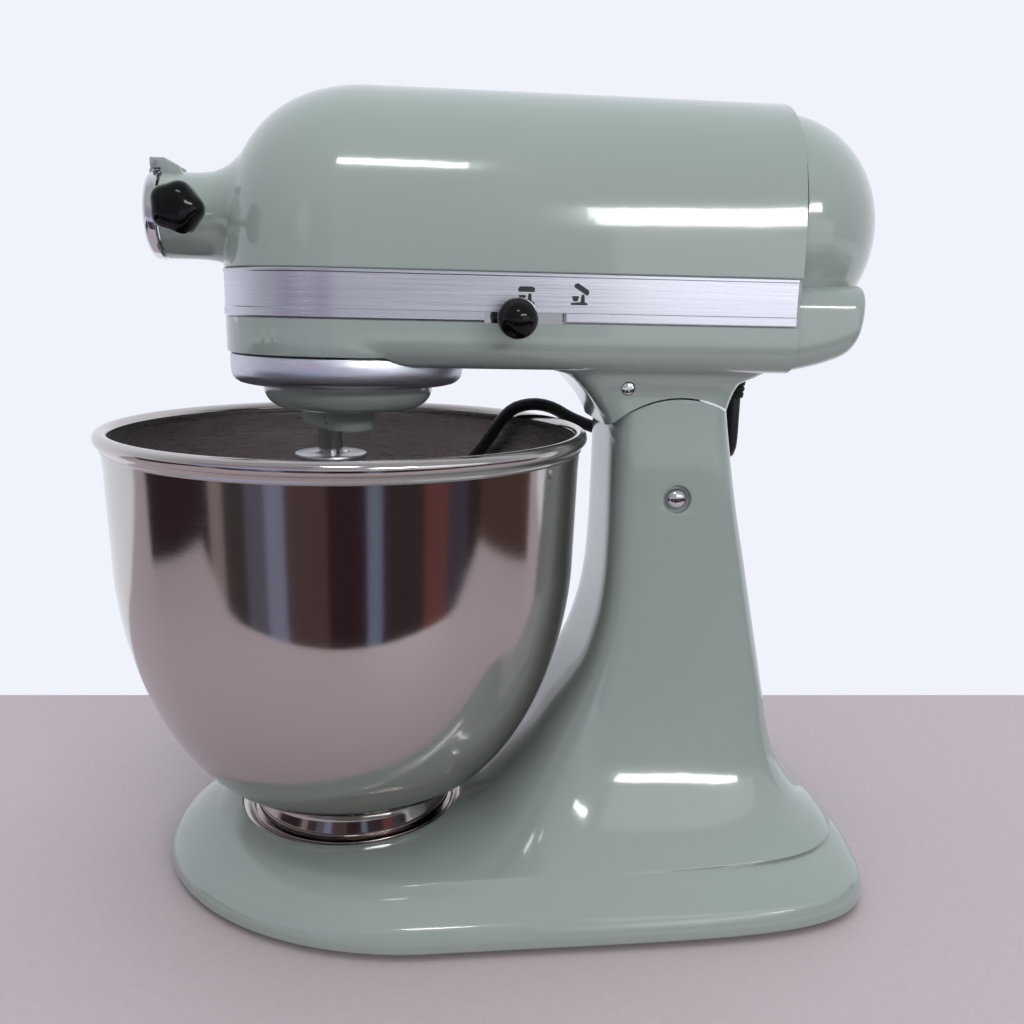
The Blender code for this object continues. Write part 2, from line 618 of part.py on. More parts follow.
def build_housing():
    shell = roof_shell("motor_housing", ENAMEL)
    wall = shell.modifiers.new("wall", "SOLIDIFY")
    wall.thickness = HEAD_WALL
    wall.offset = -1.0
    wall.use_even_offset = True
    add(shell, rod("hub_tube", HUB_RADIUS, HUB_FRONT, -0.030, at=(0, 0, HUB_Z), turn=ALONG_X, sides=28))
    ear = [(-0.0822, 0.3189), (-0.0776, 0.3189), (-0.0776, 0.3140), (-0.0670, 0.3140), (-0.0700, 0.3200),
           (-0.0760, 0.3232), (-0.0822, 0.3232)]
    for side in (-1, 1):
        low, high = sorted((side * 0.0046, side * 0.0072))
        add(shell, xz_prism(f"hub_ear_{'near' if side < 0 else 'far'}", ear, low, high))
    cut(shell, rod("hub_bore", HUB_BORE, -0.10, -0.02, at=(0, 0, HUB_Z), turn=ALONG_X, sides=32))
    cut(shell, rod("hub_pin_bore", 0.0014, -0.02, 0.02, at=(COVER_PIVOT_X, 0, COVER_PIVOT_Z), turn=ALONG_Y, sides=12))
    cut(shell, rod("hub_knob_bore", 0.0033, -0.03, 0.0, at=(KNOB_X, 0, HUB_Z), turn=ALONG_Y, sides=16))


def strip_outline(half, rear):
    return head_outline(half, rear, sides=3, nose=20)


def build_band():
    """Brushed strip let into the head, from one end of the seam round the nose to the other."""
    rear = SEAM_X - 0.002
    outer = strip_outline(BAND_OUTER, rear)
    inner = strip_outline(BAND_OUTER - BAND_DEPTH, rear)
    band = prism("trim_band", [*outer, *reversed(inner)], BAND_LOW, BAND_HIGH, BRUSHED)
    cut(band, block("lock_notch", (LOCK_SLOT[0], -SLOT_OUT, 0.25), (LOCK_SLOT[1], -SLOT_IN, SLOT_HIGH)))
    cut(band, block("speed_notch", (SPEED_SLOT[0], SLOT_IN, 0.25), (SPEED_SLOT[1], SLOT_OUT, SLOT_HIGH)))


def half_ball(name, inset):
    """The rear dome, cut at the seam."""
    form = bmesh.new()
    depth = REAR_REACH - SEAM_X - inset
    size = Matrix.Diagonal((depth, HEAD_HALF - 0.0014 - inset, 0.0520 - inset, 1.0))
    bmesh.ops.create_uvsphere(form, u_segments=24, v_segments=14, radius=1.0,
                              matrix=Matrix.Translation((SEAM_X, 0, 0.3005)) @ size)
    return place(name, to_mesh(name, form))


def box_section(x, half, low, high, corner):
    """Rounded rectangle across the head, for the rear cover's lower box."""
    outline = []
    for cy, cz, start in ((half - corner, low + corner, 270), (half - corner, high - corner, 0),
                          (-half + corner, high - corner, 90), (-half + corner, low + corner, 180)):
        outline.extend(arc(cy, cz, corner, start, start + 90, 4))
    return [(x, y, z) for y, z in outline]


def build_end_cover():
    depth = REAR_REACH - SEAM_X
    box = [(SEAM_X + depth * back, HEAD_HALF - inward, low, corner) for back, inward, low, corner in
           ((0, 0.0026, 0.2385, 0.012), (0.1735, 0.0026, 0.2403, 0.012), (0.3776, 0.0028, 0.2430, 0.012),
            (0.5408, 0.0036, 0.2480, 0.012), (0.6265, 0.0056, 0.2540, 0.010))]
    cover = loft("end_cover", [box_section(x, half, low, 0.2760, corner) for x, half, low, corner in box], ENAMEL)
    add(cover, half_ball("rear_dome", 0.0))
    inside = [box_section(x - HEAD_WALL, half - HEAD_WALL, low + HEAD_WALL, 0.2730, corner - HEAD_WALL)
              for x, half, low, corner in box]
    inside[0] = [(SEAM_X - 0.005, y, z) for x, y, z in inside[0]]
    cut(cover, loft("cover_box_hollow", inside), half_ball("rear_dome_hollow", HEAD_WALL))
    cut(cover, block("seam_plane", (SEAM_X - 2 * depth, -0.08, 0.2), (SEAM_X, 0.08, 0.4)))
    dome_x = SEAM_X + depth * math.sqrt(1 - ((0.3005 - COVER_SCREW_Z) / 0.0520) ** 2)
    cut(cover, rod("cover_screw_seat", 0.0042, dome_x - 0.0016, dome_x + 0.01, at=(0, 0, COVER_SCREW_Z),
                   turn=ALONG_X, sides=16))
    cut(cover, rod("cover_screw_hole", 0.0020, 0.20, 0.26, at=(0, 0, COVER_SCREW_Z), turn=ALONG_X, sides=16))
    screw = ((0, 0.0018), (0.0022, 0.0018), (0.0036, 0.0008), (0.0036, GAP), (0.0017, GAP), (0.0017, -0.010), (0, -0.010))
    turned("end_cover_screw", screw, CHROME, at=(dome_x - 0.0016, 0, COVER_SCREW_Z), turn=ALONG_X, sides=16)


def build_hub():
    front = HUB_FRONT - 0.0008
    profile = ((0, COVER_DEPTH), (0.0150, COVER_DEPTH - 0.0004), (0.0176, COVER_DEPTH - 0.0016),
               (0.0186, COVER_DEPTH - 0.004), (0.0186, 0), (0.0165, 0), (0.0160, 0.003), (0, 0.0036))
    cover = turned("hub_cover", profile, CHROME, at=(front, 0, HUB_Z), turn=(0, -math.pi / 2, 0), sides=28)
    tab = [(COVER_PIVOT_X - 0.0034, 0.3150), (COVER_PIVOT_X + 0.0010, 0.3150),
           *arc(COVER_PIVOT_X, COVER_PIVOT_Z, 0.0021, -30, 180, 8), (COVER_PIVOT_X - 0.0034, 0.3180)]
    add(cover, xz_prism("cover_tab", tab, -0.0042, 0.0042))
    cut(cover, rod("cover_pin_bore", 0.0013, -0.02, 0.02, at=(COVER_PIVOT_X, 0, COVER_PIVOT_Z), turn=ALONG_Y, sides=12))
    rod("hub_cover_pin", 0.0010, -0.0080, 0.0080, CHROME, at=(COVER_PIVOT_X, 0, COVER_PIVOT_Z), turn=ALONG_Y, sides=12)

    lobes = []
    for i in range(30):
        angle = 2 * math.pi * i / 30
        radius = KNOB_RADIUS - 0.0008 + 0.0008 * math.cos(5 * angle)
        lobes.append((radius * math.cos(angle), radius * math.sin(angle)))
    knob = prism("attachment_knob", lobes, -0.0070, 0.0070, BLACK, at=(KNOB_X, KNOB_Y, HUB_Z), turn=ALONG_Y)
    bevel(knob, 0.0022, 2, 50)
    add(knob, rod("attachment_screw", 0.0026, 0.0050, -0.0128 - KNOB_Y, at=(KNOB_X, KNOB_Y, HUB_Z), turn=ALONG_Y))

    shaft = ((0, -0.0242), (0.0060, -0.0242), (0.0060, -0.0480), (0.0110, -0.0480), (0.0110, -0.0720), (0, -0.0720))
    socket = turned("hub_shaft", shaft, ALUMINIUM, at=(0, 0, HUB_Z), turn=ALONG_X, sides=28)
    cut(socket, block("socket_square", (-0.08, -0.0048, HUB_Z - 0.0048), (-0.054, 0.0048, HUB_Z + 0.0048)))
    gear_blank("hub_gear", 24, 0.0152, 0.0165, -0.0235, -0.0178, 0.0063, ALUMINIUM, (0, 0, HUB_Z), ALONG_X)


def gear_blank(name, teeth, root, tip, low, high, bore, finish, at, turn):
    """A plain toothed wheel with a bore."""
    wheel = prism(name, toothed(teeth, root, tip, 0.62, 0.30, 0.0), low, high, finish, at, turn)
    cut(wheel, rod(f"{name}_bore", bore, low - 0.01, high + 0.01, at=at, turn=turn, sides=20))
    return wheel


# ---------------------------------------------------------------- planetary drive
def build_planetary():
    drip = ((0.0418, FRONT_Z - GAP), (0.0510, FRONT_Z - GAP), (DRIP_RADIUS, FRONT_Z - 0.0012),
            (DRIP_RADIUS, DRIP_LOW + 0.0060), (0.0512, DRIP_LOW + 0.0026), (0.0480, DRIP_LOW + 0.0004),
            (0.0420, DRIP_LOW), (0.0395, DRIP_LOW), (0.0395, CARRIER_TOP - 0.0001), (0.0418, CARRIER_TOP + 0.0004))
    turned("drip_ring", drip, BRUSHED, closed=True, sides=40)

    tip = MODULE * RING_TEETH / 2 - 0.0007
    root = MODULE * RING_TEETH / 2 + 0.0013
    phase = PLANET_ANGLE + math.pi / RING_TEETH
    teeth = toothed(RING_TEETH, root, tip, 0.56, 0.24, phase)
    annulus = ring("ring_gear", tip - 0.003, RING_OUTER, CARRIER_TOP + 0.0008, FLOOR_Z - 0.0044, ALUMINIUM, sides=48)
    cut(annulus, prism("ring_tooth_gaps", teeth, 0.2, 0.3))

    top = CARRIER_TOP
    profile = ((0, top), (0.0374, top), (CARRIER_RADIUS, top - 0.001), (CARRIER_RADIUS, DRIP_LOW - 0.0020),
               (0.0375, 0.2220), (0.0345, 0.2186), (0.0300, CARRIER_LOW + 0.0004), (0.0250, CARRIER_LOW), (0, CARRIER_LOW))
    carrier = turned("planetary", profile, ENAMEL, sides=40)
    lean = math.degrees(math.asin((BOSS_SHAFT_RADIUS - BOSS_CENTRE_RADIUS) / ORBIT))
    boss = [*arc(0, 0, BOSS_CENTRE_RADIUS, 90 + lean, 270 - lean, 12),
            *arc(ORBIT, 0, BOSS_SHAFT_RADIUS, -90 + lean * -1, 90 + lean, 14)]
    add(carrier, prism("planetary_boss", boss, BOSS_LOW, CARRIER_LOW + 0.003, turn=(0, 0, PLANET_ANGLE)))
    across = (math.pi / 2, 0, PLANET_ANGLE)
    planet = spot(ORBIT, PLANET_ANGLE, 0)
    cut(carrier, rod("carrier_shaft_bore", CENTRE_SHAFT_RADIUS + GAP, 0.20, 0.25),
        rod("carrier_planet_bore", AGITATOR_RADIUS + 0.0004, 0.20, 0.25, at=planet),
        rod("carrier_pin_bore", 0.0021, -0.02, 0.02, at=(0, 0, 0.2108), turn=across, sides=12))
    rod("planetary_pin", 0.0018, -0.0116, 0.0116, CHROME, at=(0, 0, 0.2108), turn=across, sides=12)

    shaft = rod("centre_shaft", CENTRE_SHAFT_RADIUS, BOSS_LOW + 0.001, BEVEL_FACE_Z - 0.0056, STEEL)
    cut(shaft, rod("shaft_cross_hole", 0.0021, -0.02, 0.02, at=(0, 0, 0.2108), turn=across, sides=12))
    gear = prism("centre_bevel_gear", toothed(30, BEVEL_OUTER - 0.0012, BEVEL_OUTER, 0.62, 0.3, 0.0),
                 BEVEL_FACE_Z - 0.0085, BEVEL_FACE_Z - 0.0004, STEEL)
    dish = rod("bevel_dish", BEVEL_INNER - 0.002, BEVEL_FACE_Z - 0.0052, 0.30)
    cut(gear, dish, rod("bevel_bore", CENTRE_SHAFT_RADIUS + GAP, 0.25, 0.30))
    ring("centre_bearing", CENTRE_SHAFT_RADIUS + 0.0004, 0.0110, FLOOR_Z + GAP, FLOOR_Z + 0.0080, CHROME)


def build_agitator():
    planet = spot(ORBIT, PLANET_ANGLE, 0)
    shaft = rod("agitator_shaft", AGITATOR_RADIUS, AGITATOR_LOW, 0.2444, STEEL, at=planet, sides=24)
    across = (math.pi / 2, 0, PLANET_ANGLE)
    pin_z = 0.1875
    cut(shaft, rod("agitator_cross_hole", 0.0020, -0.02, 0.02, at=(planet[0], planet[1], pin_z), turn=across, sides=12))
    rod("agitator_pin", 0.0017, -0.0085, 0.0085, CHROME, at=(planet[0], planet[1], pin_z), turn=across, sides=12)

    pitch = MODULE * PINION_TEETH / 2
    outline = toothed(PINION_TEETH, pitch - 0.0012, pitch + 0.0006, 0.56, 0.24, PLANET_ANGLE)
    pinion = prism("agitator_pinion", outline, CARRIER_TOP + 0.0010, FLOOR_Z - 0.0046, STEEL, at=planet)
    cut(pinion, rod("pinion_bore", AGITATOR_RADIUS + GAP, 0.20, 0.26, at=planet, sides=20))

    sleeve_low = 0.168
    collar = ((0, COLLAR_TOP), (COLLAR_RADIUS - 0.0008, COLLAR_TOP), (COLLAR_RADIUS, COLLAR_TOP - 0.0008),
              (COLLAR_RADIUS, COLLAR_TOP - COLLAR_THICKNESS), (0.0112, COLLAR_TOP - COLLAR_THICKNESS - 0.0012),
              (0.0102, 0.182), (0.0095, sleeve_low + 0.003), (0.0070, sleeve_low), (0, sleeve_low))
    hook = turned("dough_hook", collar, ALUMINIUM, at=planet, sides=32)
    bend = [(0.0, 0.176), (0.003, 0.164), (0.014, 0.153), (0.026, 0.139), (0.0325, 0.118), (0.031, 0.095),
            (0.022, 0.074), (0.006, 0.062), (-0.012, 0.0615)]
    side = PLANET_ANGLE + math.radians(60)
    route = [(planet[0] + r * math.cos(side), planet[1] + r * math.sin(side), z) for r, z in bend]
    add(hook, tube_as_mesh(tube("hook_bend", smooth_run(route, 0.0085), HOOK_WIRE, ALUMINIUM, 2)))
    cut(hook, rod("hook_bore", AGITATOR_RADIUS + GAP, AGITATOR_LOW - GAP, 0.20, at=planet))
    slot = prism("hook_slot", [(-0.0022, -0.0092), (0.0022, -0.0092), (0.0022, 0.0092), (-0.0022, 0.0092)],
                 pin_z - 0.0022, 0.20, at=planet, turn=(0, 0, PLANET_ANGLE))
    cut(hook, slot)


# ---------------------------------------------------------------- motor and gears
def build_gears():
    at_wheel = (0, 0, WHEEL_Z)
    gear_blank("worm_wheel", 24, WHEEL_RADIUS - 0.0013, WHEEL_RADIUS, -WHEEL_HALF, WHEEL_HALF, 0.0043, BRONZE,
               at_wheel, ALONG_Y)
    shaft = rod("wheel_shaft", 0.004, -0.0285, 0.0285, STEEL, at=at_wheel, turn=ALONG_Y, sides=20)
    add(shaft, prism("bevel_pinion", toothed(16, 0.0104, 0.0116, 0.62, 0.30, 0.0), -BEVEL_OUTER,
                     -BEVEL_INNER - 0.0005, at=at_wheel, turn=ALONG_Y))
    arm, inner, front, rear = 0.0296, 0.0262, -0.008, 0.0310
    frame = [(front, -arm), (rear, -arm), (rear, arm), (front, arm), (front, inner), (rear - 0.0035, inner),
             (rear - 0.0035, -inner), (front, -inner)]
    bracket = prism("gear_bracket", frame, WHEEL_Z - 0.0085, WHEEL_Z + 0.0085, ALUMINIUM)
    cut(bracket, rod("bracket_bore", 0.0043, -0.04, 0.04, at=at_wheel, turn=ALONG_Y, sides=20))


def bulkhead(name, low, high, bore, cut_bore=True):
    """A plate across the inside of the head that holds a bearing."""
    clearance = HEAD_WALL + 0.0012
    rib = roof_rib(HEAD_HALF, HEAD_TOP, 8)[2:]
    edge = [((HEAD_HALF - clearance) * (1 - share), z - clearance) for share, z in rib]
    edge[0] = (min(edge[0][0], 0.0440), 0.2650)
    edge[1] = (min(edge[1][0], 0.0440), edge[1][1])
    outline = [*((-z, y) for y, z in edge), *((-z, -y) for y, z in reversed(edge[:-1]))]
    plate = prism(name, outline, low, high, ALUMINIUM, turn=ALONG_X)
    cut(plate, rod(f"{name}_bore", bore, low - 0.01, high + 0.01, at=(0, 0, MOTOR_Z), turn=ALONG_X))


def build_motor():
    at_motor = (0, 0, MOTOR_Z)
    shaft = ((0, 0.1880), (ARMATURE_RADIUS, 0.1880), (ARMATURE_RADIUS, 0.0170), (WORM_RADIUS, 0.0140),
             (WORM_RADIUS, -0.0130), (ARMATURE_RADIUS, -0.0150), (0, -0.0150))
    turned("armature_shaft", shaft, STEEL, at=at_motor, turn=ALONG_X, sides=24)
    bore = ARMATURE_RADIUS + GAP
    ring("rotor", bore, ROTOR_RADIUS, 0.0700, 0.1240, LAMINATION, at_motor, ALONG_X, 28)
    ring("commutator", bore, 0.0120, 0.1330, 0.1480, COPPER, at_motor, ALONG_X, 20)
    ring("fan", bore, 0.0240, 0.1560, 0.1640, BLACK, at_motor, ALONG_X, 20)
    ring("stator", STATOR_INNER, STATOR_OUTER, 0.0680, 0.1260, LAMINATION, at_motor, ALONG_X, 28)
    for name, middle in (("front", 0.0400), ("rear", 0.1780)):
        ring(f"{name}_bearing", bore, 0.0110, middle - 0.004, middle + 0.004, CHROME, at_motor, ALONG_X, 20)
        bulkhead(f"{name}_bulkhead", middle - 0.004, middle + 0.004, 0.0113)
    for side, name in ((-1, "near"), (1, "far")):
        low, high = sorted((side * 0.0123, side * 0.0290))
        block(f"brush_{name}", (0.1370, low, MOTOR_Z - 0.004), (0.1440, high, MOTOR_Z + 0.004), CARBON)
    block("control_board", (0.1990, -0.028, 0.262), (0.2010, 0.028, 0.312), BOARD)


def build_levers():
    """Head lock on the near side and speed control on the far side, each a slide with a ball knob."""
    for name, side, x, tail in (("lock", -1, LOCK_X, 0.034), ("speed", 1, SPEED_X, 0.022)):
        low, high = sorted((side * (SLOT_IN + 0.0014), side * (SLOT_IN + 0.0034)))
        slide = block(f"{name}_lever", (x - 0.012, low, LEVER_Z - 0.004), (x + tail, high, LEVER_Z + 0.009), CHROME)
        low, high = sorted((side * (SLOT_IN + 0.0024), side * (LEVER_KNOB_Y - LEVER_KNOB_RADIUS - GAP)))
        add(slide, block(f"{name}_stem", (x - 0.003, low, LEVER_Z - 0.0014), (x + 0.003, high, LEVER_Z + 0.0014)))
        ball = []
        for i in range(9):
            angle = math.radians(90 - 22.5 * i)
            ball.append((max(0.0, LEVER_KNOB_RADIUS * math.cos(angle)), LEVER_KNOB_RADIUS * math.sin(angle)))
        turned(f"{name}_knob", ball, BLACK, at=(x, side * LEVER_KNOB_Y, LEVER_Z), turn=ALONG_Y, sides=18)


def build_neck_screw():
    screw = ((0, 0.0012), (0.0016, 0.0012), (0.0029, 0.0005), (0.0029, GAP), (0.0017, GAP), (0.0017, -0.008), (0, -0.008))
    turned("neck_screw", screw, CHROME, at=(0.1235, -COLUMN_HALF, 0.2299), turn=(math.pi / 2, 0, 0), sides=16)


# ---------------------------------------------------------------- mains cord
# From the gland under the head, round the far side of the column and over the rim.
CORD_STUB = ((0.1865, 0.0060, 0.2222), (0.1865, 0.0060, 0.2120), (0.1867, 0.0066, 0.2035), (0.1869, 0.0086, 0.1968),
             (0.1870, 0.0120, 0.1952), (0.1870, 0.0150, 0.1949))
CORD_ROUTE = ((0.1870, 0.0160, 0.1949), (0.1866, 0.0260, 0.1940), (0.1840, 0.0370, 0.1928), (0.1750, 0.0455, 0.1925),
              (0.1600, 0.0487, 0.1945), (0.1430, 0.0495, 0.1980), (0.1255, 0.0500, 0.2022), (0.1130, 0.0502, 0.2070))
# From the rim on: the reach back and across as shares of the bowl's radius, and the height.
CORD_IN_BOWL = ((0.9369, 0.4505, 0.2118), (0.8649, 0.4568, 0.2138), (0.8000, 0.4865, 0.2130), (0.7423, 0.5189, 0.2100),
                (0.6883, 0.5450, 0.2030), (0.6459, 0.5991, 0.1940), (0.5919, 0.6577, 0.1845), (0.5045, 0.7342, 0.1730),
                (0.3604, 0.8108, 0.1600), (0.1622, 0.8604, 0.1460), (-0.0541, 0.8604, 0.1330), (-0.2523, 0.8018, 0.1225),
                (-0.4144, 0.7207, 0.1145), (-0.5315, 0.6126, 0.1095), (-0.5946, 0.5405, 0.1082))


def build_cord():
    exit_x, exit_y, exit_z = CORD_EXIT
    gland = ((0, 0.2456), (0.0055, 0.2456), (0.0055, 0.2280), (0.0048, 0.2230), (0.0044, exit_z), (0, exit_z))
    turned("strain_relief", gland, RUBBER, at=(exit_x, exit_y, 0), sides=20)
    tube("cord_head", smooth_run(CORD_STUB, 0.006), CORD_RADIUS, RUBBER)
    in_bowl = tuple((back * RIM_RADIUS, across * RIM_RADIUS, z) for back, across, z in CORD_IN_BOWL)
    tube("cord_run", smooth_run(CORD_ROUTE + in_bowl, 0.015), CORD_RADIUS, RUBBER)
    ring("cord_coil", COIL_INNER, COIL_OUTER, COIL_LOW, COIL_TOP, RUBBER, sides=48)

    tail_z = COIL_TOP + GAP + CORD_RADIUS
    middle = (COIL_INNER + COIL_OUTER) / 2
    plug_turn = PLUG_LENGTH / middle
    body = ((0, 0), (0.0050, 0), (0.0062, 0.006), (PLUG_RADIUS, 0.014), (PLUG_RADIUS, PLUG_LENGTH - 0.001),
            (PLUG_RADIUS - 0.001, PLUG_LENGTH), (0, PLUG_LENGTH))
    body = tuple(reversed(body))
    plug_z = COIL_TOP + GAP + PLUG_RADIUS
    start = spot(middle, PLUG_START, plug_z)
    heading = PLUG_START + math.pi / 2 + plug_turn / 2
    along = Vector((math.cos(heading), math.sin(heading), 0))
    tail = [spot(middle, PLUG_START - back, z)
            for back, z in ((0.46, tail_z), (0.38, tail_z), (0.30, tail_z + 0.0012), (0.22, plug_z - 0.0012))]
    tail.extend((Vector(start) - along * 0.008, Vector(start) - along * GAP))
    tube("cord_tail", smooth_run(tail, 0.006), CORD_RADIUS, RUBBER)
    plug = turned("plug", body, RUBBER, at=start, turn=(0, math.pi / 2, heading), sides=20)
    for name, aside in (("live", 0.00635), ("neutral", -0.00635)):
        blade = block(f"plug_blade_{name}", (PLUG_LENGTH - 0.004, aside - 0.00075, -0.0032),
                      (PLUG_LENGTH + 0.0155, aside + 0.00075, 0.0032))
        blade.location = start
        blade.rotation_euler = (0, 0, heading)
        add(plug, blade)


build_base()
build_feet()
build_clamp_plate()
build_bowl()
build_hinge()
build_gearcase()
build_housing()
build_band()
build_end_cover()
build_hub()
build_planetary()
build_agitator()
build_gears()
build_motor()
build_levers()
build_neck_screw()
build_cord()
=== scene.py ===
"""A tilt-head stand mixer in sage green enamel, with its steel bowl, dough hook and mains cord."""

import math

import bmesh
import bpy
from mathutils import Matrix, Vector


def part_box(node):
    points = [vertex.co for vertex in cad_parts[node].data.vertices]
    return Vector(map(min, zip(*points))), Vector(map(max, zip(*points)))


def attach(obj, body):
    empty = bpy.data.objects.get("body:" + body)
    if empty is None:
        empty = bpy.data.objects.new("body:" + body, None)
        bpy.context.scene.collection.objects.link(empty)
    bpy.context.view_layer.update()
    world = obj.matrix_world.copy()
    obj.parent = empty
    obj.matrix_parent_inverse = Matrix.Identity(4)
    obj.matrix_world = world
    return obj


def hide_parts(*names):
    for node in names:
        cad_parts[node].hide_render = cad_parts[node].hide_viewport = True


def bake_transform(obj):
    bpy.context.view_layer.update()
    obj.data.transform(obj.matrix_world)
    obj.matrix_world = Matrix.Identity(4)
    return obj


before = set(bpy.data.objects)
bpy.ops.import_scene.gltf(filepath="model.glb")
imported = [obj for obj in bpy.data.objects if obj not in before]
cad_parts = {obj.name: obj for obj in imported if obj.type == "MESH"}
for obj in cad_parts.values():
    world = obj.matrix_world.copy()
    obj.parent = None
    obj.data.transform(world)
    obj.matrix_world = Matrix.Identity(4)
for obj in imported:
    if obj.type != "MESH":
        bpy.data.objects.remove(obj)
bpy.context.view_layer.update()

# ------------------------------------------------------------------ viewpoint
# The mixer is set out from the bowl's axis, which is also the axis of the planetary drive.
# A hand-held camera stands at the side of the bowl and looks a little down at the head.
bowl_low, bowl_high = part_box("bowl")
axis_x = (bowl_low[0] + bowl_high[0]) / 2
eye = Vector((axis_x + 0.0279, -0.4463, 0.2639))
heading, look_down, lean = math.radians(-6.32), math.radians(12.24), math.radians(1.25)
lens_mm = 33.23
camera = bpy.data.objects.new("camera", bpy.data.cameras.new("camera"))
camera.data.lens = lens_mm
camera.data.clip_start = 0.01
camera.matrix_world = (Matrix.Translation(eye) @ Matrix.Rotation(heading, 4, "Z")
                       @ Matrix.Rotation(math.pi / 2 - look_down, 4, "X") @ Matrix.Rotation(lean, 4, "Z"))
bpy.context.scene.collection.objects.link(camera)
bpy.context.scene.camera = camera


# ------------------------------------------------------------------ floor and light
# A pinkish grey table top lies on a white floor that meets the white surroundings.
# The table ends just behind the mixer.
def linear(code):
    """An sRGB hex colour as linear red, green, blue and alpha."""
    shares = [int(code[i:i + 2], 16) / 255 for i in (0, 2, 4)]
    return (*[s / 12.92 if s <= 0.04045 else ((s + 0.055) / 1.055) ** 2.4 for s in shares], 1.0)


def add(tree, kind, settings=None, links=None):
    """Add a node to a material, set its sockets or properties, and link other nodes into it."""
    made = tree.nodes.new(kind)
    for key, value in (settings or {}).items():
        if isinstance(key, int) or key in made.inputs:
            made.inputs[key].default_value = value
        else:
            setattr(made, key, value)
    for key, source in (links or {}).items():
        tree.links.new(source, made.inputs[key])
    return made


def surface(name, code, roughness, metallic=0.0, **sockets):
    """A Principled material and its node tree and shader."""
    made = bpy.data.materials.new(name)
    made.use_nodes = True
    shader = made.node_tree.nodes["Principled BSDF"]
    shader.inputs["Base Color"].default_value = linear(code)
    shader.inputs["Roughness"].default_value = roughness
    shader.inputs["Metallic"].default_value = metallic
    for key, value in sockets.items():
        shader.inputs[key.replace("_", " ")].default_value = value
    return made, made.node_tree, shader


def sheet_of(name, corners, z, material):
    """A flat polygon of floor."""
    mesh = bpy.data.meshes.new(name)
    mesh.from_pydata([(axis_x + x, y, z) for x, y in corners], [], [tuple(range(len(corners)))])
    mesh.materials.append(material)
    made = bpy.data.objects.new(name, mesh)
    bpy.context.scene.collection.objects.link(made)
    return made


table_laminate, tree, shader = surface("table_laminate_matt", "B8ACB0", 0.55)
place = add(tree, "ShaderNodeTexCoord")
speckle_mm = 3.846
speckle = add(tree, "ShaderNodeTexNoise", {"Scale": 1000 / speckle_mm, "Detail": 3.0},
              {"Vector": place.outputs["Object"]})
tone = add(tree, "ShaderNodeValToRGB", {}, {"Fac": speckle.outputs["Fac"]})
tone.color_ramp.elements[0].color = linear("B3A7AB")
tone.color_ramp.elements[1].color = linear("BDB1B5")
tree.links.new(tone.outputs["Color"], shader.inputs["Base Color"])
white_floor, tree, shader = surface("white_floor_matt", "000000", 0.9, Specular_IOR_Level=0.0)
shader.inputs["Emission Color"].default_value = linear("F0F3FC")
shader.inputs["Emission Strength"].default_value = 1.0
floor_half = 4.0
floor_drop = 0.003
back_edge = 0.171
edge_slope = -0.0562
floor = sheet_of("floor", ((-floor_half, -floor_half), (floor_half, -floor_half), (floor_half, floor_half),
                           (-floor_half, floor_half)), -floor_drop, white_floor)
table_half, front_edge = 1.6, -1.4
table_top = sheet_of("table_top", ((-table_half, front_edge), (table_half, front_edge),
                                   (table_half, back_edge + edge_slope * table_half),
                                   (-table_half, back_edge - edge_slope * table_half)), 0.0, table_laminate)

world = bpy.data.worlds.new("white_room")
world.use_nodes = True
sky = world.node_tree.nodes["Background"]
sky.inputs["Color"].default_value = linear("F0F3FC")
from_where = add(world.node_tree, "ShaderNodeTexCoord")
axes = add(world.node_tree, "ShaderNodeSeparateXYZ", {}, {"Vector": from_where.outputs["Generated"]})
room_dark, room_bright = 0.50, 1.0
fade = add(world.node_tree, "ShaderNodeMapRange", {"From Min": -0.20, "From Max": 0.55, "To Min": room_dark,
                                                   "To Max": room_bright}, {"Value": axes.outputs["Y"]})
world.node_tree.links.new(fade.outputs["Result"], sky.inputs["Strength"])
bpy.context.scene.world = world
bpy.context.scene.view_settings.view_transform = "Standard"


def soft_light(name, where, aim, width, height, power):
    """A rectangular soft box that faces a point of the mixer."""
    lamp = bpy.data.lights.new(name, "AREA")
    lamp.shape = "RECTANGLE"
    lamp.size, lamp.size_y = width, height
    lamp.energy = power
    made = bpy.data.objects.new(name, lamp)
    made.location = Vector(where) + Vector((axis_x, 0, 0))
    made.rotation_mode = "QUATERNION"
    made.rotation_quaternion = (Vector(where) - Vector(aim)).to_track_quat("Z", "Y")
    bpy.context.scene.collection.objects.link(made)
    return made


ceiling = soft_light("ceiling_box", (0.05, -0.25, 1.60), (0.05, 0.0, 0.2), 1.40, 1.20, 10.0)
ceiling.visible_glossy = False
soft_light("overhead_tube", (-0.02, -1.05, 1.20), (0.03, -0.05, 0.32), 0.30, 0.09, 1.6)
soft_light("front_box", (0.98, -1.80, 0.95), (0.12, -0.05, 0.28), 1.10, 0.26, 14.0)
soft_light("left_window", (-0.85, -1.20, 0.62), (0.0, -0.05, 0.3), 0.10, 0.14, 0.8)


def reflected_card(name, start, end, low, high, code, strength=1.0):
    """An upright coloured card that glows, out of the picture and seen only in polished surfaces: a painted
    reflection.
    """
    card, tree, shader = surface(f"{name}_painted_reflection", "000000", 1.0)
    shader.inputs["Emission Color"].default_value = linear(code)
    shader.inputs["Emission Strength"].default_value = strength
    mesh = bpy.data.meshes.new(name)
    mesh.from_pydata([(axis_x + x, y, z) for (x, y), z in ((start, low), (end, low), (end, high),
                                                           (start, high))],
                     [], [(0, 1, 2, 3)])
    mesh.materials.append(card)
    made = bpy.data.objects.new(name, mesh)
    for kind in ("camera", "diffuse", "shadow", "transmission"):
        setattr(made, f"visible_{kind}", False)
    bpy.context.scene.collection.objects.link(made)
    return made
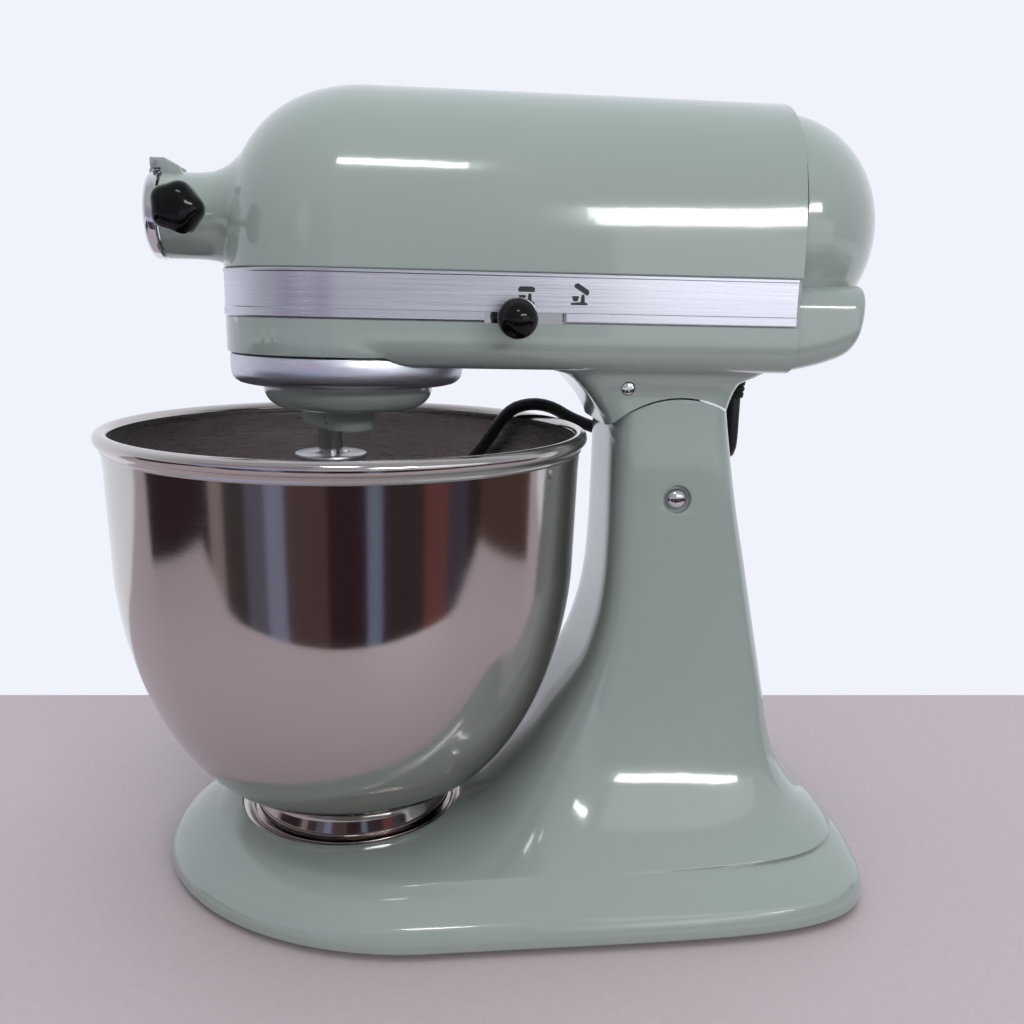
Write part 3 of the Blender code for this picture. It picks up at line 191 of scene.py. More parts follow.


# Painted reflections: glowing bands of a dark room, a pale haze and dusk above them, and a bright window,
# seen only in the bowl, the enamel and the chrome.
card_y, left_x, right_x, side_y = -0.33, -0.62, 0.60, 0.02
table_line, bowl_line, ring_line, head_line = 0.0, 0.165, 0.235, 0.42
room = ((left_x, "2E1D24"), (-0.50, "8E8282"), (-0.38, "3B3334"), (-0.26, "5C5B6A"), (-0.185, "8287A0"),
        (-0.13, "533F40"), (-0.03, "2F1A20"), (0.055, "727C94"), (0.09, "35292B"), (0.21, "6A3F3E"),
        (0.31, "413B48"), (0.45, "271D21"), (right_x, ""))
for i, ((left, code), (right, _)) in enumerate(zip(room, room[1:])):
    reflected_card(f"room_{i}", (left, card_y), (right, card_y), table_line, bowl_line, code)
reflected_card("room_left", (left_x, card_y), (left_x, side_y), table_line, bowl_line, "2C1A23")
reflected_card("room_right", (right_x, card_y), (right_x, 0.0), table_line, bowl_line, "4E3933")
reflected_card("room_haze", (left_x, card_y), (-0.06, card_y), bowl_line, ring_line, "B4BCDB")
reflected_card("room_dusk", (left_x, card_y), (-0.06, card_y), ring_line, head_line, "9D90A1")
reflected_card("room_window", (0.17, card_y), (right_x, card_y), 0.22, 0.36, "F6F9FF", 1.25)


# ------------------------------------------------------------------ base and column
# One zinc casting carries everything. It is cast hollow and finished in baked gloss enamel,
# which shows as a deep even colour with sharp reflections and a faint ripple.
def piece(name, points, faces, material, crease=35):
    """A smooth-shaded mesh set out from the bowl's axis, with its hard edges kept."""
    form = bmesh.new()
    corners = [form.verts.new(p) for p in points]
    for face in faces:
        form.faces.new([corners[i] for i in face])
    bmesh.ops.remove_doubles(form, verts=form.verts, dist=0.000002)
    bmesh.ops.recalc_face_normals(form, faces=form.faces)
    mesh = bpy.data.meshes.new(name)
    form.to_mesh(mesh)
    form.free()
    mesh.shade_smooth()
    mesh.set_sharp_from_angle(angle=math.radians(crease))
    mesh.materials.append(material)
    made = bpy.data.objects.new(name, mesh)
    made.location = (axis_x, 0, 0)
    bpy.context.scene.collection.objects.link(made)
    return made


def skin(name, rows, material, closed_ends=(True, True), looped=False, crease=35):
    """A mesh over rings of points, capped at the ends or joined last to first."""
    count = len(rows[0])
    faces = []
    for i in range(len(rows) if looped else len(rows) - 1):
        k = (i + 1) % len(rows)
        faces.extend((i * count + j, i * count + (j + 1) % count, k * count + (j + 1) % count,
                      k * count + j)
                     for j in range(count))
    if closed_ends[0] and not looped:
        faces.append(tuple(range(count)))
    if closed_ends[1] and not looped:
        faces.append(tuple(range((len(rows) - 1) * count, len(rows) * count)))
    return piece(name, [p for row in rows for p in row], faces, material, crease)


def lathe(name, profile, material, sides=128, centre=(0, 0, 0), turn=Matrix.Identity(3), looped=False):
    """A turned piece from (radius, height) points, its axis turned from Z and moved to the centre."""
    rows = []
    for radius, height in profile:
        ring = []
        for i in range(sides):
            angle = 2 * math.pi * i / sides
            ring.append(turn @ Vector((radius * math.cos(angle), radius * math.sin(angle), height))
                        + Vector(centre))
        rows.append(ring)
    return skin(name, rows, material, (profile[0][0] > 0, profile[-1][0] > 0), looped)


def prism(name, outline, low, high, material, turn=Matrix.Identity(3), centre=(0, 0, 0)):
    """A flat outline pulled up from low to high."""
    rows = [[turn @ Vector((x, y, z)) + Vector(centre) for x, y in outline] for z in (low, high)]
    return skin(name, rows, material)


def worked(item, cuts=(), joins=(), edge=0.0, steps=3, crease=35, sharpest=40):
    """Cut and join other solids, then round the hard edges, and keep the result as the mesh."""
    for operation, tools in (("UNION", joins), ("DIFFERENCE", cuts)):
        for tool in tools:
            step = item.modifiers.new(tool.name, "BOOLEAN")
            step.operation, step.object, step.solver = operation, tool, "EXACT"
    if edge:
        step = item.modifiers.new("edge", "BEVEL")
        step.width, step.segments = edge, steps
        step.limit_method, step.angle_limit = "ANGLE", math.radians(sharpest)
        step.use_clamp_overlap = True
    bpy.context.view_layer.update()
    mesh = bpy.data.meshes.new_from_object(item.evaluated_get(bpy.context.evaluated_depsgraph_get()))
    item.modifiers.clear()
    item.data = mesh
    mesh.shade_smooth()
    mesh.set_sharp_from_angle(angle=math.radians(crease))
    for tool in (*joins, *cuts):
        bpy.data.objects.remove(tool, do_unlink=True)
    return item


def belongs(item, body, slot, *nodes):
    """The piece rides on a body and stands for these CAD nodes, which it hides. The slot is not used."""
    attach(item, body)
    if nodes:
        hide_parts(*nodes)
    return item


def through(keys, steps):
    """Rows on a smooth line through the given rows, which it never overshoots."""
    slopes = []
    for i, here in enumerate(keys):
        before, after = keys[max(i - 1, 0)], keys[min(i + 1, len(keys) - 1)]
        row = []
        for a, b, c in zip(before, here, after):
            left, right = b - a, c - b
            level = i in (0, len(keys) - 1)
            row.append(left + right if level else 0.0 if left * right <= 0
                       else 2 * left * right / (left + right))
        slopes.append(row)
    rows = []
    for i in range(len(keys) - 1):
        for k in range(steps):
            t = k / steps
            rows.append([(2 * t ** 3 - 3 * t ** 2 + 1) * a + (t ** 3 - 2 * t ** 2 + t) * u
                         + (3 * t ** 2 - 2 * t ** 3) * b + (t ** 3 - t ** 2) * v
                         for a, b, u, v in zip(keys[i], keys[i + 1], slopes[i], slopes[i + 1])])
    return [*rows, list(keys[-1])]


def arc(cx, cy, radius, start, stop, steps):
    """Points on an arc, its angles in degrees."""
    return [(cx + radius * math.cos(math.radians(start + (stop - start) * i / steps)),
             cy + radius * math.sin(math.radians(start + (stop - start) * i / steps)))
            for i in range(steps + 1)]


ALONG_X = Matrix.Rotation(math.pi / 2, 3, "Y")      # turns +Z to +X
ALONG_Y = Matrix.Rotation(-math.pi / 2, 3, "X")     # turns +Z to +Y
TOWARDS_VIEWER = Matrix.Rotation(math.pi / 2, 3, "X")
UPRIGHT = Matrix(((1, 0, 0), (0, 0, 1), (0, 1, 0)))  # an (x, z) outline, pulled out along Y

enamel, tree, shader = surface("sage_gloss_enamel", "919D98", 0.13, IOR=1.5, Coat_Weight=0.6,
                               Coat_Roughness=0.03)
place = add(tree, "ShaderNodeTexCoord")
ripple_mm = 3.5
ripple = add(tree, "ShaderNodeTexNoise", {"Scale": 1000 / ripple_mm, "Detail": 1.0},
             {"Vector": place.outputs["Object"]})
peel = add(tree, "ShaderNodeBump", {"Strength": 0.035, "Distance": 0.0004},
           {"Height": ripple.outputs["Fac"]})
tree.links.new(peel.outputs["Normal"], shader.inputs["Normal"])
tree.links.new(peel.outputs["Normal"], shader.inputs["Coat Normal"])
cloud_mm = 111.1
cloud = add(tree, "ShaderNodeTexNoise", {"Scale": 1000 / cloud_mm, "Detail": 2.0},
            {"Vector": place.outputs["Object"]})
tone = add(tree, "ShaderNodeValToRGB", {}, {"Fac": cloud.outputs["Fac"]})
tone.color_ramp.elements[0].color = linear("8E9A95")
tone.color_ramp.elements[1].color = linear("949F9A")
tree.links.new(tone.outputs["Color"], shader.inputs["Base Color"])

# Each section: height, front, rear, widest place, half width, roundness of the front and of the rear.
casting = ((0.0030, -0.0880, 0.2392, 0.035, 0.1040, 2.0, 6.0),
           (0.0042, -0.0889, 0.2399, 0.035, 0.1049, 2.0, 6.0),
           (0.0075, -0.0888, 0.2398, 0.035, 0.1050, 2.0, 6.0),
           (0.0120, -0.0850, 0.2392, 0.035, 0.1030, 2.0, 6.0),
           (0.0160, -0.0785, 0.2380, 0.036, 0.0990, 2.0, 5.5),
           (0.0200, -0.0690, 0.2362, 0.038, 0.0935, 2.1, 5.0),
           (0.0235, -0.0575, 0.2335, 0.042, 0.0870, 2.2, 4.5),
           (0.0250, 0.0300, 0.2315, 0.100, 0.0850, 3.0, 4.5),
           (0.0275, 0.0520, 0.2295, 0.110, 0.0815, 3.0, 4.5),
           (0.0310, 0.0605, 0.2260, 0.115, 0.0770, 3.2, 4.5),
           (0.0385, 0.0697, 0.2170, 0.125, 0.0700, 3.5, 4.2),
           (0.0533, 0.0834, 0.2075, 0.134, 0.0595, 4.0, 4.2),
           (0.0705, 0.0947, 0.2020, 0.140, 0.0525, 4.5, 4.5),
           (0.0852, 0.1035, 0.1990, 0.143, 0.0480, 5.0, 5.0),
           (0.0973, 0.1095, 0.1968, 0.145, 0.0455, 5.5, 5.0),
           (0.1094, 0.1135, 0.1945, 0.1465, 0.0435, 5.5, 5.0),
           (0.1250, 0.1170, 0.1915, 0.1465, 0.0412, 5.5, 5.0),
           (0.1450, 0.1190, 0.1875, 0.1465, 0.0392, 5.5, 5.0),
           (0.1680, 0.1195, 0.1825, 0.1465, 0.0377, 5.5, 5.0),
           (0.1900, 0.1195, 0.1782, 0.1465, 0.0367, 5.5, 5.0),
           (0.2167, 0.1195, 0.1737, 0.1465, 0.0360, 5.5, 5.0),
           (0.2300, 0.1195, 0.1720, 0.1465, 0.0360, 5.5, 5.0))


def casting_ring(section, count):
    """One closed outline of the casting, round in front and squarer behind."""
    z, front, rear, middle, half, front_round, rear_round = section
    ring = []
    for i in range(count):
        along, across = math.cos(2 * math.pi * i / count), math.sin(2 * math.pi * i / count)
        reach, roundness = (rear - middle, rear_round) if along > 0 else (middle - front, front_round)
        ring.append((middle + math.copysign(reach * abs(along) ** (2 / roundness), along),
                     math.copysign(half * abs(across) ** (2 / roundness), across), z))
    return ring


pivot_x, pivot_z = 0.1484, 0.1802
column_half = 0.036
cap_radius = 0.0450
tongue_half, tongue_radius = 0.0150, 0.0145
plate_radius = 0.0546
base = skin("base_casting", [casting_ring(s, 144) for s in through(casting, 5)], enamel)
crown_outline = [*arc(pivot_x, pivot_z, cap_radius, 172, 8, 64), (pivot_x + 0.08, pivot_z + 0.006),
                 (pivot_x + 0.08, 0.26), (pivot_x - 0.08, 0.26), (pivot_x - 0.08, pivot_z + 0.006)]
slot_half = tongue_radius + 0.002
fork_outline = [*arc(pivot_x, pivot_z, slot_half, 180, 270, 16), (pivot_x + slot_half, pivot_z - slot_half),
                (pivot_x + 0.06, pivot_z - slot_half - 0.006), (pivot_x + 0.06, 0.25),
                (pivot_x - slot_half, 0.25)]
pin_seat_radius = 0.0066
seats = [lathe(f"pin_seat_{name}", ((0, side * 0.0345), (pin_seat_radius, side * 0.0345),
                                    (pin_seat_radius, side * 0.06), (0, side * 0.06)),
               enamel, 48, (pivot_x, 0, pivot_z), ALONG_Y) for name, side in (("near", -1), ("far", 1))]
worked(base, [prism("crown", crown_outline, -0.06, 0.06, enamel, UPRIGHT),
              prism("fork", fork_outline, -tongue_half - 0.001, tongue_half + 0.001, enamel, UPRIGHT),
              lathe("plate_recess", ((0, 0.0165), (plate_radius + 0.0006, 0.0165),
                                     (plate_radius + 0.0006, 0.05),
                                     (0, 0.05)), enamel), *seats], edge=0.0007, sharpest=50)
belongs(base, "stand", "green_enamel", "pedestal")

# ------------------------------------------------------------------ feet
# Five moulded rubber pads pressed into the underside.
# They are matt and slightly dusty, so their gloss is low and uneven.
def uneven_gloss(tree, shader, spot_mm, low_rough, high_rough, detail=2.0):
    """Let the roughness wander between two values over spots of a real size."""
    place = add(tree, "ShaderNodeTexCoord")
    spots = add(tree, "ShaderNodeTexNoise", {"Scale": 1000 / spot_mm, "Detail": detail},
                {"Vector": place.outputs["Object"]})
    rough = add(tree, "ShaderNodeMapRange", {"To Min": low_rough, "To Max": high_rough},
                {"Value": spots.outputs["Fac"]})
    tree.links.new(rough.outputs["Result"], shader.inputs["Roughness"])
    return spots


rubber, tree, shader = surface("moulded_rubber", "141414", 0.62, Specular_IOR_Level=0.35)
grain_mm = 0.8
uneven_gloss(tree, shader, grain_mm, 0.55, 0.72)


def dress(material, *names):
    """A CAD node keeps its own shape and shows in this material."""
    for name in names:
        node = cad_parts[name]
        node.data.materials.clear()
        node.data.materials.append(material)
        node.data.shade_smooth()
        node.data.set_sharp_from_angle(angle=math.radians(35))


dress(rubber, "foot_1", "foot_2", "foot_3", "foot_4", "foot_5")

# ------------------------------------------------------------------ hinge pin
# A plated steel pin through column and neck.
# It has a domed polished end in a spot-faced seat on each side.
chrome, tree, shader = surface("chrome_plate", "D9DADC", 0.06, 1.0)
haze_mm = 8.333
uneven_gloss(tree, shader, haze_mm, 0.04, 0.09)
pin_radius = 0.0048
pin_end = column_half + 0.0022
dome = [(pin_radius * math.sin(math.radians(a)), pin_end - 0.0030 * (1 - math.cos(math.radians(a))))
        for a in range(0, 91, 9)]
pin = lathe("hinge_pin_polished", [*dome, *[(r, -z) for r, z in reversed(dome)]], chrome, 64,
            (pivot_x, 0, pivot_z), ALONG_Y)
belongs(pin, "stand", "chrome", "hinge_pin")

# ------------------------------------------------------------------ bowl and clamp plate
# The bowl is spun from stainless sheet with a rolled rim and a bayonet foot, polished outside and
# finely brushed inside by turning it, so both show rings. The clamp plate is pressed from the same sheet.
def turned_steel(name, code, low_rough, high_rough, line_mm, depth):
    """A metal with the fine rings that turning leaves, one for each line width."""
    made, tree, shader = surface(name, code, low_rough, 1.0, Anisotropic=0.55)
    place = add(tree, "ShaderNodeTexCoord")
    parts = add(tree, "ShaderNodeSeparateXYZ", {}, {"Vector": place.outputs["Object"]})
    flat = add(tree, "ShaderNodeCombineXYZ", {}, {"X": parts.outputs["X"], "Y": parts.outputs["Y"]})
    radius = add(tree, "ShaderNodeVectorMath", {"operation": "LENGTH"}, {0: flat.outputs["Vector"]})
    along = add(tree, "ShaderNodeMath", {"operation": "ADD"},
                {0: radius.outputs["Value"], 1: parts.outputs["Z"]})
    angle = add(tree, "ShaderNodeMath", {"operation": "ARCTAN2"},
                {0: parts.outputs["Y"], 1: parts.outputs["X"]})
    short = add(tree, "ShaderNodeMath", {"operation": "MULTIPLY", 1: 0.004}, {0: angle.outputs["Value"]})
    spot = add(tree, "ShaderNodeCombineXYZ", {}, {"X": along.outputs["Value"], "Y": short.outputs["Value"]})
    lines = add(tree, "ShaderNodeTexNoise", {"Scale": 1000 / line_mm, "Detail": 4.0, "Roughness": 0.7},
                {"Vector": spot.outputs["Vector"]})
    rough = add(tree, "ShaderNodeMapRange", {"From Min": 0.3, "From Max": 0.7, "To Min": low_rough,
                                             "To Max": high_rough},
                {"Value": lines.outputs["Fac"]})
    tree.links.new(rough.outputs["Result"], shader.inputs["Roughness"])
    ridge = add(tree, "ShaderNodeBump", {"Strength": depth, "Distance": 0.0001},
                {"Height": lines.outputs["Fac"]})
    tree.links.new(ridge.outputs["Normal"], shader.inputs["Normal"])
    round_z = add(tree, "ShaderNodeTangent", {"direction_type": "RADIAL", "axis": "Z"})
    tree.links.new(round_z.outputs["Tangent"], shader.inputs["Tangent"])
    return made


polished_steel = turned_steel("stainless_polished_spun", "C3BDBA", 0.07, 0.13, 0.5, 0.05)
brushed_steel = turned_steel("stainless_brushed_inside", "D6D0CF", 0.24, 0.32, 0.6, 0.04)

rim_radius, rim_roll, rim_z = 0.111, 0.0032, 0.2056
foot_radius, foot_top_z = 0.0475, 0.037
wall_x, wall_z, wall_low, wall_low_z = 0.1075, 0.2016, 0.1062, 0.150
sheet_thick = 0.0012


def wall_line(inset):
    """The bowl's wall from under the rim to the middle of its bottom, one side of the sheet."""
    line = [(wall_x - inset, wall_z), (0.10735 - inset, 0.192), (0.1070 - inset, 0.178),
            (0.1066 - inset, 0.163)]
    for i in range(33):
        angle = math.pi / 2 * i / 32
        line.append((foot_radius + (wall_low - foot_radius) * math.cos(angle) ** (2 / 1.8) - inset,
                     wall_low_z - (wall_low_z - foot_top_z) * math.sin(angle) ** (2 / 1.8) + inset))
    return line


rim = arc(rim_radius - rim_roll, rim_z, rim_roll, 232, -62, 24)
lip = [(wall_x + 0.0009, wall_z - 0.0004), (wall_x + 0.0010, wall_z - 0.0012),
       (wall_x + 0.0003, wall_z - 0.0020)]
bowl_section = [(0, foot_top_z + sheet_thick), *reversed(wall_line(sheet_thick)), *rim, *lip,
                *wall_line(0.0)[1:], (foot_radius - 0.0016, 0.0355), (foot_radius - 0.0022, 0.0325),
                (foot_radius - 0.0016, 0.0290), (foot_radius, 0.0262), (foot_radius + 0.0004, 0.0240),
                (foot_radius, 0.0222), (foot_radius, 0.0198), (foot_radius - 0.003, 0.0198),
                (foot_radius - 0.003, 0.0330), (0, 0.0360)]
bowl = lathe("bowl_spun", bowl_section, polished_steel, 192)
bowl.data.materials.append(brushed_steel)
for face in bowl.data.polygons:
    inward = (-(face.normal.x * face.center.x + face.normal.y * face.center.y)
              / Vector(face.center[:2]).length)
    face.material_index = int(foot_top_z < face.center.z < rim_z and (inward > 0.02 or face.normal.z > 0.5))
belongs(bowl, "bowl", "bowl_steel", "bowl")

plate_line = [(0, 0.025), (0.0375, 0.025), (0.0385, 0.0243), (0.0387, 0.0197),
              (plate_radius - 0.0060, 0.0196), (plate_radius - 0.0052, 0.0208),
              (plate_radius - 0.0046, 0.0226), (plate_radius - 0.0030, 0.0234),
              (plate_radius - 0.0002, 0.0230), (plate_radius + 0.0005, 0.0224), (plate_radius, 0.0218),
              (plate_radius - 0.003, 0.0172), (0, 0.0170)]
belongs(lathe("clamp_plate_polished", plate_line, polished_steel), "stand", "bowl_steel", "clamp_plate")
dress(chrome, "plate_screw_1", "plate_screw_2", "plate_screw_3")

# ------------------------------------------------------------------ gearcase and neck
# The lower half of the head: a zinc casting, enamelled like the base, with the round seat of the drip
# ring in front and a neck that turns over the top of the column.
head_half, nose_start = 0.0536, 0.015
seam_x = 0.1925
band_low, band_high, band_inset = 0.2580, 0.2776, 0.0014
split_z, under_z, front_z = 0.2676, 0.2378, 0.2421
cradle_radius = 0.0458


def plan(half, rear, sides=10, nose=96):
    """Outline of the head seen from above: straight sides and a half-round nose about the bowl's axis."""
    return [*[(rear * (1 - i / sides), -half) for i in range(sides)], *arc(0, 0, half, 270, 90, nose),
            *[(rear * i / sides, half) for i in range(1, sides + 1)]]


side_round = 0.0125
levels = [(under_z + side_round * (1 - math.cos(math.radians(a))), head_half - side_round + side_round
           * math.sin(math.radians(a))) for a in range(0, 91, 10)]
levels += [(0.2542, head_half), (band_low - 0.0007, head_half), (band_low - 0.0003, head_half - 0.0005),
           (band_low - 0.0003, head_half - band_inset), (split_z, head_half - band_inset)]
gearcase = skin("gearcase_casting",
                [[(x, y, z) for x, y in plan(half, seam_x - 0.0003)] for z, half in levels], enamel)
front_line = ((0, front_z), (head_half - 0.0010, front_z), (head_half - 0.0003, front_z + 0.0003),
              (head_half, front_z + 0.0012), (head_half, 0.254), (0, 0.254))
neck_levels = ((0.2480, 0.066, 0.1922, 0.0500), (0.2430, 0.0735, 0.1920, 0.0465),
               (0.2400, 0.0800, 0.1905, 0.0430), (0.2375, 0.0880, 0.1880, 0.0402),
               (0.2350, 0.0972, 0.1835, 0.0383), (0.2320, 0.1020, 0.1770, 0.0370),
               (0.2290, 0.1052, 0.1750, 0.0363), (0.2240, 0.1095, 0.1730, 0.0360),
               (0.2180, 0.1135, 0.1712, 0.0360), (0.2050, 0.1190, 0.1680, 0.0360))


def neck_ring(level, count=96):
    """A rounded rectangle across the neck."""
    z, front, rear, half = level
    middle, reach = (front + rear) / 2, (rear - front) / 2
    ring = []
    for i in range(count):
        along, across = math.cos(2 * math.pi * i / count), math.sin(2 * math.pi * i / count)
        ring.append((middle + math.copysign(reach * abs(along) ** 0.25, along),
                     math.copysign(half * abs(across) ** 0.25, across), z))
    return ring


neck = skin("neck", [neck_ring(level) for level in through(neck_levels, 4)], enamel)
tongue_outline = [*arc(pivot_x, pivot_z, tongue_radius, 180, 360, 32), (pivot_x + tongue_radius, 0.236),
                  (pivot_x - tongue_radius, 0.236)]
lock_slot, speed_slot = (0.0581, 0.0924), (0.0450, 0.0924)
slot_low, slot_high = 0.2572, 0.2618


def slot_tool(name, ends, side):
    """The opening that a lever's stem slides in, square across the head's side."""
    outline = [(ends[0], slot_low), (ends[1], slot_low), (ends[1], slot_high), (ends[0], slot_high)]
    low, high = sorted((side * 0.047, side * 0.060))
    return prism(name, outline, low, high, enamel, UPRIGHT)


neck_screw_x, neck_screw_z = 0.1235, 0.2299
drip_radius = 0.0523
gearcase = worked(
    gearcase, joins=[neck, lathe("front_seat", front_line, enamel)],
    cuts=[lathe("cradle", ((0, -0.06), (cradle_radius, -0.06), (cradle_radius, 0.06), (0, 0.06)), enamel,
                160,
                (pivot_x, 0, pivot_z), ALONG_Y),
          lathe("drip_seat", ((0, 0.20), (drip_radius + 0.0013, 0.20), (drip_radius + 0.0013, front_z),
                              (0, front_z)),
                enamel),
          lathe("neck_screw_seat", ((0, 0.0350), (0.0031, 0.0350), (0.0031, 0.045), (0, 0.045)), enamel, 32,
                (neck_screw_x, 0, neck_screw_z), TOWARDS_VIEWER),
          slot_tool("lock_slot_tool", lock_slot, -1), slot_tool("speed_slot_tool", speed_slot, 1)],
    edge=0.0005, sharpest=50)
tongue = prism("neck_tongue", tongue_outline, -tongue_half, tongue_half, enamel, UPRIGHT)
for part in (gearcase, tongue):
    belongs(part, "head", "green_enamel", "gearcase")
screw_line = [(0, 0.0012), (0.0016, 0.0011), (0.0026, 0.0007), (0.0029, 0.0001), (0.0029, -0.0008),
              (0, -0.0008)]
neck_screw = lathe("neck_screw_head", screw_line, chrome, 48, (neck_screw_x, -0.0356, neck_screw_z),
                   TOWARDS_VIEWER)
cross = [prism(f"cross_{i}", [(-0.0015, -0.0003), (0.0015, -0.0003), (0.0015, 0.0003), (-0.0015, 0.0003)],
               0.0004, 0.003,
               chrome, TOWARDS_VIEWER @ Matrix.Rotation(math.radians(25 + 90 * i), 3, "Z"),
               (neck_screw_x, -0.0356, neck_screw_z)) for i in range(2)]
belongs(worked(neck_screw, cross), "head", "chrome", "neck_screw")

# ------------------------------------------------------------------ motor housing and hub
# The upper half of the head, one enamelled casting.
# The attachment hub's tube flares out of its nose.
head_top, shoulder_z, squareness = 0.3555, 0.2779, 2.5
hub_radius, hub_bore, hub_z, hub_front = 0.0183, 0.0125, 0.2998, -0.0776


def roof_ring(share, z):
    """One level of the roof, a share of the way in from the plan's outline to the ridge."""
    return [(x + (max(x, nose_start) - x) * share, y * (1 - share), z)
            for x, y in plan(head_half, seam_x - 0.0002)]


steps_up = 44
roof = [roof_ring(band_inset / head_half, split_z), roof_ring(band_inset / head_half, shoulder_z - 0.0001),
        roof_ring(0.0004 / head_half, shoulder_z - 0.0001), roof_ring(0.0, shoulder_z + 0.0004)]
for i in range(1, steps_up + 1):
    rise = math.pi / 2 * (i / steps_up) ** 0.9
    roof.append(roof_ring(1 - abs(math.cos(rise)) ** (2 / squareness),
                          shoulder_z + (head_top - shoulder_z) * math.sin(rise) ** (2 / squareness)))
housing = skin("housing_casting", roof, enamel, (True, False))
flare = [(0, -0.030), (0.0330, -0.0395), (0.0272, -0.0440), (0.0232, -0.0482), (0.0208, -0.0520),
         (0.0192, -0.0560), (0.0185, -0.0605), (hub_radius, -0.0650), (hub_radius, hub_front + 0.0006),
         (hub_radius - 0.0006, hub_front), (0, hub_front)]
hub_tube = lathe("hub_tube", flare, enamel, 96, (0, 0, hub_z), ALONG_X)
bore_tool = lathe("hub_bore_tool", ((0, -0.05), (hub_bore, -0.05), (hub_bore, -0.1), (0, -0.1)), enamel, 96,
                  (0, 0, hub_z), ALONG_X)
worked(housing, [bore_tool], [hub_tube], edge=0.0006, sharpest=50)
ear_outline = [(-0.0822, 0.3189), (-0.0776, 0.3189), (-0.0776, 0.3140), (-0.0670, 0.3140),
               (-0.0700, 0.3200), (-0.0760, 0.3232), (-0.0822, 0.3232)]
belongs(housing, "head", "green_enamel", "motor_housing")
for name, side in (("near", -1), ("far", 1)):
    low, high = sorted((side * 0.0046, side * 0.0072))
    ear = worked(prism(f"hub_ear_{name}", ear_outline, low, high, enamel, UPRIGHT), edge=0.0007)
    belongs(ear, "head", "green_enamel", "motor_housing")

# ------------------------------------------------------------------ rear cover
# A domed cover over the motor's end and the speed control, held by one screw.
# It is cast and enamelled like the rest of the head.
rear_reach, dome_z, dome_half, dome_height = 0.2415, 0.3005, 0.0522, 0.0520
cover_screw_z = 0.2800
dome_rows = []
for i in range(49):
    lift = math.radians(-90 + 180 * i / 48)
    dome_rows.append([(seam_x + (rear_reach - seam_x) * math.cos(lift) * math.cos(math.radians(a)),
                       dome_half * math.cos(lift) * math.sin(math.radians(a)),
                       dome_z + dome_height * math.sin(lift))
                      for a in range(0, 360, 4)])
cover = skin("rear_dome", dome_rows, enamel, (False, False))


def cover_ring(x, half, low, corner, high=0.2760):
    """A rounded rectangle across the lower part of the cover."""
    ring = []
    for cy, cz, start in ((half - corner, low + corner, 270), (half - corner, high - corner, 0),
                          (-half + corner, high - corner, 90), (-half + corner, low + corner, 180)):
        ring.extend(arc(cy, cz, corner, start, start + 90, 10))
    return [(x, y, z) for y, z in ring]


box_levels = [(seam_x - 0.004, 0.0510, 0.2378, 0.0115), (0.2010, 0.0510, 0.2403, 0.0115),
              (0.2110, 0.0508, 0.2430, 0.0115), (0.2185, 0.0503, 0.2462, 0.0112),
              (0.2218, 0.0494, 0.2500, 0.0104), (0.2232, 0.0480, 0.2545, 0.0094)]
lower_box = skin("rear_box", [cover_ring(*level) for level in through(box_levels, 4)], enamel)
screw_depth = (seam_x + (rear_reach - seam_x) * math.sqrt(1 - ((dome_z - cover_screw_z) / dome_height) ** 2)
               - 0.0016)
seam_tool = prism("seam_tool", [(seam_x - 0.08, 0.2), (seam_x + 0.0002, 0.2), (seam_x + 0.0002, 0.4),
                                (seam_x - 0.08, 0.4)],
                  -0.08, 0.08, enamel, UPRIGHT)
screw_seat = lathe("cover_screw_seat", ((0, screw_depth), (0.0042, screw_depth), (0.0042, 0.25), (0, 0.25)),
                   enamel, 48,
                   (0, 0, cover_screw_z), ALONG_X)
belongs(worked(cover, [seam_tool, screw_seat], [lower_box], edge=0.0005, sharpest=55), "head",
        "green_enamel", "end_cover")
cover_screw = lathe("cover_screw_head", [(0, 0.0018), (0.0022, 0.0017), (0.0034, 0.0010), (0.0036, 0.0003),
                                         (0.0036, -0.001),
                                         (0, -0.001)], chrome, 48, (screw_depth, 0, cover_screw_z), ALONG_X)
belongs(cover_screw, "head", "chrome", "end_cover_screw")

# ------------------------------------------------------------------ trim band
# A strip of aluminium, brushed lengthways and clear anodised, with a bright raised edge at the top and a
# wider raised strip along the bottom. Its two small signs are printed in black.
brushed_band, tree, shader = surface("aluminium_brushed_lengthways", "C9CAD2", 0.28, 1.0)
place = add(tree, "ShaderNodeTexCoord")
brush_long_mm, brush_wide_mm = 71.43, 0.45
stretch = add(tree, "ShaderNodeMapping",
              {"Scale": (1000 / brush_long_mm, 1000 / brush_long_mm, 1000 / brush_wide_mm)},
              {"Vector": place.outputs["Object"]})
lines = add(tree, "ShaderNodeTexNoise", {"Scale": 1.0, "Detail": 4.0, "Roughness": 0.65},
            {"Vector": stretch.outputs["Vector"]})
rough = add(tree, "ShaderNodeMapRange", {"From Min": 0.3, "From Max": 0.7, "To Min": 0.20, "To Max": 0.38},
            {"Value": lines.outputs["Fac"]})
tree.links.new(rough.outputs["Result"], shader.inputs["Roughness"])
groove = add(tree, "ShaderNodeBump", {"Strength": 0.15, "Distance": 0.0001},
             {"Height": lines.outputs["Fac"]})
tree.links.new(groove.outputs["Normal"], shader.inputs["Normal"])

